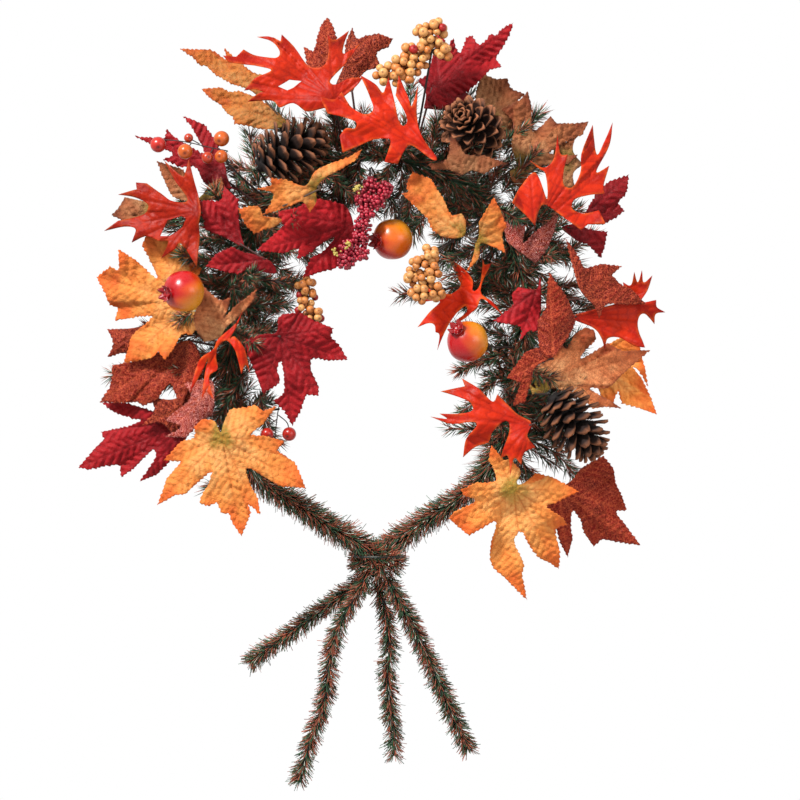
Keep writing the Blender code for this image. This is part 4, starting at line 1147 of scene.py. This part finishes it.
# ---- pinecones --------------------------------------------------------------------------------
CONE_RADIUS, CONE_LENGTH = 0.034, 0.078
CONE_SCALES = 64
GOLDEN_TURN = math.radians(137.508)
# Name, clock degrees, outwards, heading of the tip, its lean to the front, forward of the hoop.
PINECONES = [
    ("pinecone_top_left", -42, 0.034, 64, 0, 0.048),
    ("pinecone_top_right", 33, 0.044, -45, 65, 0.026),
    ("pinecone_right", 118, 0.046, 142, 5, 0.064),
]
CONE_DARK, CONE_MID, CONE_TIP = rgb(44, 26, 20), rgb(78, 46, 33), rgb(214, 140, 96)


def cone_scale(batch, root, out, axis, length, width, rise, rng):
    """One woody scale: narrow at its root, wide and thick at its rounded tip with a ridge."""
    side = np.cross(axis, out)
    side /= np.linalg.norm(side)
    rows, cols = 6, 7
    grid, tint = [], []
    for i in range(rows):
        t = i / (rows - 1)
        half = width * (0.28 + 0.72 * math.sin(math.pi * (0.15 + 0.62 * t)) ** 1.2)
        if i == rows - 1:
            half *= 0.72
        lift = rise * t * t
        for j in range(cols):
            u = 2 * j / (cols - 1) - 1
            cup = 0.16 * width * u * u - 0.10 * width * math.exp(-(u / 0.3) ** 2) * t
            push = length * t * (1 - 0.10 * u * u * t)
            grid.append(root + out * push + side * half * u + axis * (lift + cup))
            edge = smooth(max(t, 0.55 + 0.45 * abs(u) * t), 0.82, 1.0)
            woody = mix(CONE_DARK, CONE_MID, smooth(t, 0.3, 0.8))
            tint.append(mix(woody, CONE_TIP, 0.9 * edge))
    top = np.array(grid)
    thick = 0.5 + 1.6 * smooth(np.arange(rows) / (rows - 1), 0.5, 1.0)
    bottom = top - axis * (np.repeat(thick, cols) * MM)[:, None]
    n = rows * cols
    faces = []
    for i in range(rows - 1):
        for j in range(cols - 1):
            a, d = i * cols + j, (i + 1) * cols + j
            b, c = a + 1, d + 1
            faces += [(a, d, c, b), (a + n, b + n, c + n, d + n)]
    index = np.arange(n).reshape(rows, cols)
    rim = np.concatenate([index[0], index[1:, -1], index[-1, -2::-1], index[-2:0:-1, 0]]).tolist()
    for a, b in zip(rim, rim[1:] + rim[:1]):
        faces.append((a, b, b + n, a + n))
    tint = np.array(tint) * rng.uniform(0.75, 1.2)
    batch.put(np.vstack([top, bottom]), faces, np.vstack([tint, tint * 0.55]))


def make_pinecone(node, clock, outwards, heading, lean, forward, seed):
    rng = np.random.default_rng(seed)
    at = np.array(on_ring(clock, outwards, HOOP_Y - forward))
    lean = math.radians(lean)
    axis = np.array(towards(heading) * math.cos(lean) + Vector((0, -math.sin(lean), 0)))
    side = np.cross(axis, (0, 1, 0) if abs(axis[1]) < 0.9 else (1, 0, 0))
    side /= np.linalg.norm(side)
    up = np.cross(axis, side)
    batch = Batch()
    core = [at + axis * CONE_LENGTH * t for t in np.linspace(0.02, 0.9, 9)]
    tube(batch, core, 9 * MM, CONE_DARK * 0.6, 12, [0.7, 1, 1.1, 1.1, 1, 0.9, 0.75, 0.55, 0.25])
    for i in range(CONE_SCALES):
        t = (i + 0.5) / CONE_SCALES
        turn = i * GOLDEN_TURN
        out = side * math.cos(turn) + up * math.sin(turn)
        swell = math.sin(math.pi * (0.16 + 0.80 * t)) ** 0.7
        tilt = math.radians(8 + 62 * t ** 1.6)
        way = out * math.cos(tilt) + axis * math.sin(tilt)
        reach = CONE_RADIUS * swell * (1.0 - 0.10 * t) + 2 * MM
        root = at + axis * CONE_LENGTH * (0.04 + 0.80 * t)
        across = np.cross(way, np.cross(axis, out))
        across *= (1 if np.dot(across, axis) > 0 else -1) / np.linalg.norm(across)
        width = (9.0 - 4.0 * t) * MM * rng.uniform(0.9, 1.1)
        cone_scale(batch, root, way, across, reach / max(0.75, math.cos(tilt) ** 0.3), width, 3 * MM, rng)
    finish_piece(batch.build(node + "_scales", [CONE]), node)
    stem_to_garland(node, at, 0.0, 4, rgb(70, 50, 38))


def stem_to_garland(node, at, sag=0.002, steps=5, tint=rgb(70, 46, 34)):
    """A wire from the piece back into the pine."""
    stalk = Batch()
    back = garland_foot(at)
    middle = at * 0.5 + back * 0.5 - np.array((0, 0, sag))
    tube(stalk, smooth_path([at, middle, back], steps), STALK_RADIUS, tint, 8)
    finish_wire(stalk.build(node + "_wire", [STEM]), node)


for k, cone in enumerate(PINECONES):
    make_pinecone(*cone, seed=40 + k)


# ---- fruit ------------------------------------------------------------------------------------
FRUIT_RADIUS = 0.0205
# Name, clock degrees, outwards, forward of the hoop, heading of the crown, heading of the red side
# and the share of the skin that is gold.
POMEGRANATES = [
    ("pomegranate_left", -87, 0.043, 0.092, -99, -50, 0.10),
    ("pomegranate_top", 13, -0.083, 0.050, -98, -140, 0.75),
    ("pomegranate_right", 114, -0.051, 0.088, -41, -115, 0.25),
]
# The crown's profile: height over the fruit and radius, as shares of the fruit's radius.
CROWN = [(0.02, 0.24), (0.10, 0.23), (0.20, 0.28), (0.30, 0.36), (0.36, 0.41), (0.33, 0.36),
         (0.22, 0.25), (0.12, 0.18), (0.09, 0.08)]
RED, GOLD, ORANGE = rgb(206, 26, 32), rgb(250, 172, 48), rgb(244, 122, 34)


def make_pomegranate(node, clock, outwards, forward, heading, red_heading, gold_share):
    at = np.array(on_ring(clock, outwards, HOOP_Y - forward))
    axis = np.array((towards(heading) * 0.75 + Vector((0, -0.66, 0))).normalized())
    side = np.cross(axis, (0, 0, 1))
    side /= np.linalg.norm(side)
    up = np.cross(axis, side)
    r = FRUIT_RADIUS
    rings, segments = 40, 60
    profile = []
    for i in range(rings):
        t = math.pi * i / (rings - 1) * 0.93
        dent = -0.05 * math.exp(-(t / 0.25) ** 2)
        profile.append((-math.cos(t) * r * (0.97 + dent), math.sin(t) * r))
    crown = [(profile[-1][0] + rise * r, wide * r) for rise, wide in CROWN]
    rows = profile[1:] + crown
    points, tint = [], []
    towards_red = np.array(towards(red_heading)) + np.array((0, -0.25, 0))
    towards_red /= np.linalg.norm(towards_red)
    for i, (height, radius) in enumerate(rows):
        crown_row = i >= len(profile) - 1
        k = i - len(profile) + 1
        for j in range(segments):
            a = 2 * math.pi * j / segments
            share = min(1, max(0, (height / r + 1) / 2))
            lobe = 1 + 0.018 * math.cos(6 * a) * math.sin(math.pi * share)
            h, q = height, radius * lobe
            if crown_row and 2 <= k <= 6:
                tooth = abs(((j / segments * 6) % 1) - 0.5) * 2
                h -= 0.26 * r * tooth ** 1.4 * min(1, (k - 1) / 3)
                q *= 1 - 0.10 * tooth
            out = side * math.cos(a) + up * math.sin(a)
            p = axis * h + out * q
            points.append(at + p)
            way = p / (np.linalg.norm(p) + 1e-9)
            blush = way @ towards_red
            patch = blush + 0.10 * math.sin(5 * a + 3 * way[2])
            t = smooth(patch, gold_share - 0.55, gold_share + 0.40)
            colour = mix(mix(GOLD, ORANGE, smooth(blush, -0.9, 0.1)), RED, t)
            if crown_row or i > len(profile) - 8:
                near = 1.0 if crown_row else (i - len(profile) + 8) / 8
                colour = mix(colour, rgb(176, 22, 34), 0.9 * near)
            tint.append(colour)
    n = len(rows)
    faces = rings_joined(n, segments)
    points += [at + axis * profile[0][0], at + axis * (rows[-1][0] - 0.0005)]
    tint += [tint[0], rgb(90, 20, 20)]
    a, b = len(points) - 2, len(points) - 1
    faces += [((j + 1) % segments, j, a) for j in range(segments)]
    top = (n - 1) * segments
    faces += [(top + j, top + (j + 1) % segments, b) for j in range(segments)]
    batch = Batch()
    batch.put(points, faces, np.array([np.asarray(c, float) for c in tint]))
    finish_piece(batch.build(node + "_skin", [FRUIT]), node)
    stem_to_garland(node, at)


for fruit in POMEGRANATES:
    make_pomegranate(*fruit)


# ---- berries ----------------------------------------------------------------------------------
def unit_ball(rows, cols):
    """Points and faces of a ball with a radius of one."""
    points = [(0, 0, 1)]
    for i in range(1, rows):
        a = math.pi * i / rows
        for j in range(cols):
            b = 2 * math.pi * j / cols
            points.append((math.sin(a) * math.cos(b), math.sin(a) * math.sin(b), math.cos(a)))
    points.append((0, 0, -1))
    faces = [(0, 1 + j, 1 + (j + 1) % cols) for j in range(cols)]
    for i in range(rows - 2):
        for j in range(cols):
            a, b = 1 + i * cols + j, 1 + i * cols + (j + 1) % cols
            faces.append((a, a + cols, b + cols, b))
    last = len(points) - 1
    faces += [(last, last - cols + (j + 1) % cols, last - cols + j) for j in range(cols)]
    return np.array(points), faces


TWIG, PEPPER_TWIG = rgb(52, 34, 26), rgb(44, 40, 26)
BALLS = {"fine": unit_ball(16, 24), "mid": unit_ball(10, 14), "tiny": unit_ball(6, 8)}


def bead(batch, centre, radius, pole, light, dark, fineness="mid"):
    """A bead with a small dimple at its pole, lit at the pole and painted with shade that deepens away from
    it.
    """
    unit, faces = BALLS[fineness]
    pole = np.array(pole, float)
    pole /= np.linalg.norm(pole)
    side = np.cross(pole, (0.31, 0.82, 0.47))
    side /= np.linalg.norm(side)
    up = np.cross(pole, side)
    dent = 1 - 0.16 * np.exp(-((1 - unit[:, 2]) / 0.035))
    local = unit * dent[:, None]
    points = centre + radius * (local[:, :1] * side + local[:, 1:2] * up + local[:, 2:] * pole)
    # Painted shade: the bead is lightest at its pole and darker towards its far side.
    tint = mix(light, dark, smooth(-unit[:, 2], -0.2, 0.9))
    tint = mix(tint, dark * 0.45, np.exp(-((1 - unit[:, 2]) / 0.03)))
    batch.put(points, faces, tint)


# Middles of each cluster's bunches, to the right of and above its first one's own zero, in metres.
CLUSTERS = {
    "peach_berries_top": [
        (0.000, 0.000), (0.004, 0.011), (-0.009, 0.008), (-0.010, -0.007), (-0.021, -0.012),
        (-0.031, -0.022), (-0.024, -0.031), (-0.036, -0.035), (-0.013, -0.021), (-0.048, -0.033),
        (0.008, -0.010)],
    "peach_berries_inner_right": [
        (0.006, 0.010), (-0.004, 0.001), (0.008, -0.003), (-0.009, -0.011), (0.003, -0.015),
        (-0.004, -0.026), (0.010, -0.026)],
    "peach_berries_inner_left": [
        (0.000, 0.007), (0.002, -0.004), (0.000, -0.014), (0.010, -0.022)],
    "pepper_berries": [
        (0.000, 0.012), (0.014, 0.008), (-0.008, 0.000), (0.006, -0.003), (-0.004, -0.014),
        (-0.008, -0.027), (-0.010, -0.040), (-0.022, -0.050), (-0.010, -0.054), (-0.024, -0.062)],
}


def scatter(rng, centres, spread, gap, tries):
    """Points kept a gap apart, gathered about the centres."""
    kept = np.empty((0, 3))
    for _ in range(tries):
        c = centres[rng.integers(0, len(centres))]
        p = c + rng.normal(0, 1, 3) * spread
        if np.linalg.norm(p - c) > 1.9 * spread:
            continue
        if len(kept) and ((kept - p) ** 2).sum(1).min() < gap ** 2:
            continue
        kept = np.vstack([kept, p])
    return kept


def cluster_centres(node):
    """The middles of a cluster's bunches, with the first one on its joint."""
    at = np.array(JOINT_AT[node])
    first = CLUSTERS[node][0]
    return np.array([at + (x - first[0], 0, z - first[1]) for x, z in CLUSTERS[node]])


def nearest(centres, place):
    return centres[((centres - place) ** 2).sum(1).argmin()]


def finish_cluster(node, material, beads, twigs):
    finish_piece(beads.build(node + "_beads", [material]), node)
    finish_wire(twigs.build(node + "_twigs", [STEM]), node)
    stem_to_garland(node, np.array(JOINT_AT[node]))


def make_peach(node, radius, tries, seed, reds=0.05):
    rng = np.random.default_rng(seed)
    centres = cluster_centres(node)
    behind = np.array((0, 3 * MM, 0))
    beads, twigs = Batch(), Batch()
    for p in scatter(rng, centres, 4.8 * MM, 1.5 * radius, tries):
        near = nearest(centres, p)
        pole = p - near + rng.normal(0, 1.5, 3) * MM - behind
        size = radius * rng.uniform(0.82, 1.1)
        # Each bead's lit colour, and the darker colour of its far side as painted shade.
        if rng.random() < reds:
            light, dark = rgb(196, 40, 34), rgb(120, 16, 20)
        else:
            t = rng.random()
            light = mix(rgb(252, 192, 122), rgb(238, 150, 80), t)
            dark = mix(rgb(206, 124, 62), rgb(170, 88, 44), t)
        bead(beads, p, size, pole, light, dark)
        back = near + behind
        bow = (back + p) / 2 + rng.normal(0, 0.6, 3) * MM
        tube(twigs, smooth_path([back, bow, p], 3), 0.45 * MM, TWIG, 5)
    order = centres[np.argsort(-centres[:, 2])]
    tube(twigs, smooth_path(order + behind, 3), 0.8 * MM, TWIG, 6)
    finish_cluster(node, PEACH, beads, twigs)


make_peach("peach_berries_top", 4.5 * MM, 5000, 61)
make_peach("peach_berries_inner_right", 4.3 * MM, 2500, 62, 0.0)
make_peach("peach_berries_inner_left", 4.1 * MM, 900, 63, 0.06)


def make_spray(node, berries, routes, seed):
    """Single berries on a branched twig, placed in millimetres from the joint."""
    rng = np.random.default_rng(seed)
    at = np.array(JOINT_AT[node])
    beads, twigs = Batch(), Batch()
    for x, y, z, radius, light, dark in berries:
        centre = at + np.array((x, y, z)) * MM
        pole = np.array((rng.uniform(-0.6, 0.6), -1, rng.uniform(-0.6, 0.4)))
        bead(beads, centre, radius * MM, pole, light, dark, "fine")
    for route in routes:
        tube(twigs, smooth_path([at + np.array(p) * MM for p in route], 5), 0.6 * MM, rgb(58, 32, 26), 6)
    finish_cluster(node, BERRY, beads, twigs)


# Berry colours in pairs: the lit colour, then the darker painted-shade colour of the far side.
AMBER = (rgb(226, 112, 36), rgb(176, 56, 16))
BRICK = (rgb(206, 72, 28), rgb(150, 30, 16))
SCARLET = (rgb(214, 52, 36), rgb(140, 18, 18))
make_spray("orange_berry_spray",
           [(0, 0, 0, 6.6, *AMBER), (-14, 2, -1, 5.9, *BRICK), (0, 3, 18, 7.8, *AMBER),
            (-36, 0, 5, 7.6, *AMBER), (-63, 2, 12, 7.9, *SCARLET), (-33, 6, 19, 4.6, *BRICK)],
           [[(6, 6, 6), (-14, 6, 10), (-36, 5, 15), (-63, 4, 17), (-63, 2, 12)], [(6, 6, 6), (0, 2, 0)],
            [(-8, 6, 9), (-14, 2, -1)], [(-4, 6, 9), (0, 3, 18)], [(-30, 5, 14), (-36, 0, 5)],
            [(-22, 5, 13), (-33, 6, 19)]], 71)
make_spray("red_berry_sprig",
           [(-12, 0, -25, 6.3, *SCARLET), (10, 0, -25, 7.0, *SCARLET), (4, 3, -50, 4.2, *SCARLET)],
           [[(0, 0, 4), (-2, 1, -8), (-4, 2, -34), (4, 3, -50)], [(-1, 1, -6), (8, 1, -14), (10, 0, -25)],
            [(-2, 1, -10), (-10, 1, -16), (-12, 0, -25)]], 72)


def make_pepper(node, seed):
    """Many small dark pink beads on a twig, and three small bunches of yellow ones."""
    rng = np.random.default_rng(seed)
    centres = cluster_centres(node)
    beads, twigs = Batch(), Batch()
    for p in scatter(rng, centres, 4.6 * MM, 2.9 * MM, 5200):
        near = nearest(centres, p)
        # The pink bead's lit colour; half of it is the painted shade of its far side.
        light = mix(rgb(232, 36, 76), rgb(176, 18, 50), rng.random())
        size = rng.uniform(1.5, 2.3) * MM
        bead(beads, p, size, p - near - np.array((0, 2 * MM, 0)), light, light * 0.5, "tiny")
        if rng.random() < 0.35:
            tube(twigs, [near, (near + p) / 2, p], 0.3 * MM, PEPPER_TWIG, 4)
    for x, z in ((-13, -4), (-35, -66), (-22, -58)):
        heart = np.array(JOINT_AT[node]) + np.array((x, -10, z)) * MM
        for _ in range(16):
            q = heart + rng.normal(0, 1.7, 3) * MM
            size = rng.uniform(0.9, 1.5) * MM
            # Yellow beads: the lit colour, then the darker painted-shade colour of the far side.
            bead(beads, q, size, (0, -1, 0), rgb(236, 214, 110), rgb(200, 160, 60), "tiny")
    stalk = centres[[0, 2, 4, 5, 6, 7, 9]] + np.array((0, 2 * MM, 0))
    tube(twigs, smooth_path(stalk, 4), 0.7 * MM, PEPPER_TWIG, 6)
    finish_cluster(node, PEPPER, beads, twigs)


make_pepper("pepper_berries", 81)


# ---- bare metal -------------------------------------------------------------------------------
def lacquered_wire():
    made = shader("wire_lacquer", 0.4, metallic=0.6)
    tree = made[1]
    where = tree.nodes.new("ShaderNodeTexCoord").outputs["Object"]
    cloud = noise(tree, where, 500.0, 5.0)
    share = ramp(tree, cloud, [(0.35, 0.0), (0.75, 1.0)])
    colour = blend_colour(tree, "MIX", share, (*rgb(14, 20, 16), 1), (*rgb(44, 46, 40), 1))
    return surface(made, colour, cloud, (0.25, 0.6), cloud, 0.2, 0.0005, (0.0, 1.0))


WIRE = lacquered_wire()
for bare in ("frame_hoop", "hanging_eye", "tie_wire"):
    mesh = frame["nodes"][bare].data
    mesh.materials.clear()
    mesh.materials.append(WIRE)

# ---- studio -----------------------------------------------------------------------------------
scene = bpy.context.scene
world = bpy.data.worlds.new("studio")
world.use_nodes = True
world.node_tree.nodes["Background"].inputs["Color"].default_value = (1, 1, 1, 1)
world.node_tree.nodes["Background"].inputs["Strength"].default_value = 1.0
scene.world = world
scene.view_settings.view_transform = "Standard"

LAMPS = [("key", (-1.1, -1.4, 1.3), 0.4, 108), ("fill", (1.4, -1.6, 0.2), 1.2, 16)]
for lamp_name, place, size, power in LAMPS:
    data = bpy.data.lights.new(lamp_name, "AREA")
    data.size = size
    data.energy = power
    lamp = bpy.data.objects.new(lamp_name, data)
    lamp.location = place
    lamp.rotation_euler = (Vector((0, -0.05, -0.25)) - Vector(place)).to_track_quat("-Z", "Y").to_euler()
    scene.collection.objects.link(lamp)

low, high = CAD_BOUNDS
FLOOR_DROP = 0.12
floor_batch = Batch()
ring = [(0.75 * math.cos(a), 0.45 * math.sin(a) - 0.05, float(low[2]) - FLOOR_DROP)
        for a in np.linspace(0, 2 * math.pi, 64, endpoint=False)]
floor_batch.put(np.array(ring), [tuple(range(64))], rgb(245, 245, 245))
floor = floor_batch.build("floor", [tinted_material("floor_paint", 0.8, 3.0, 0.04, 0.02)])

camera = bpy.data.objects.new("camera", bpy.data.cameras.new("camera"))
camera.data.lens = 135
camera.data.sensor_width = 36
camera.location = (0.022, -3.07, -0.276)
camera.rotation_euler = (math.pi / 2, 0, 0)
scene.collection.objects.link(camera)
scene.camera = camera
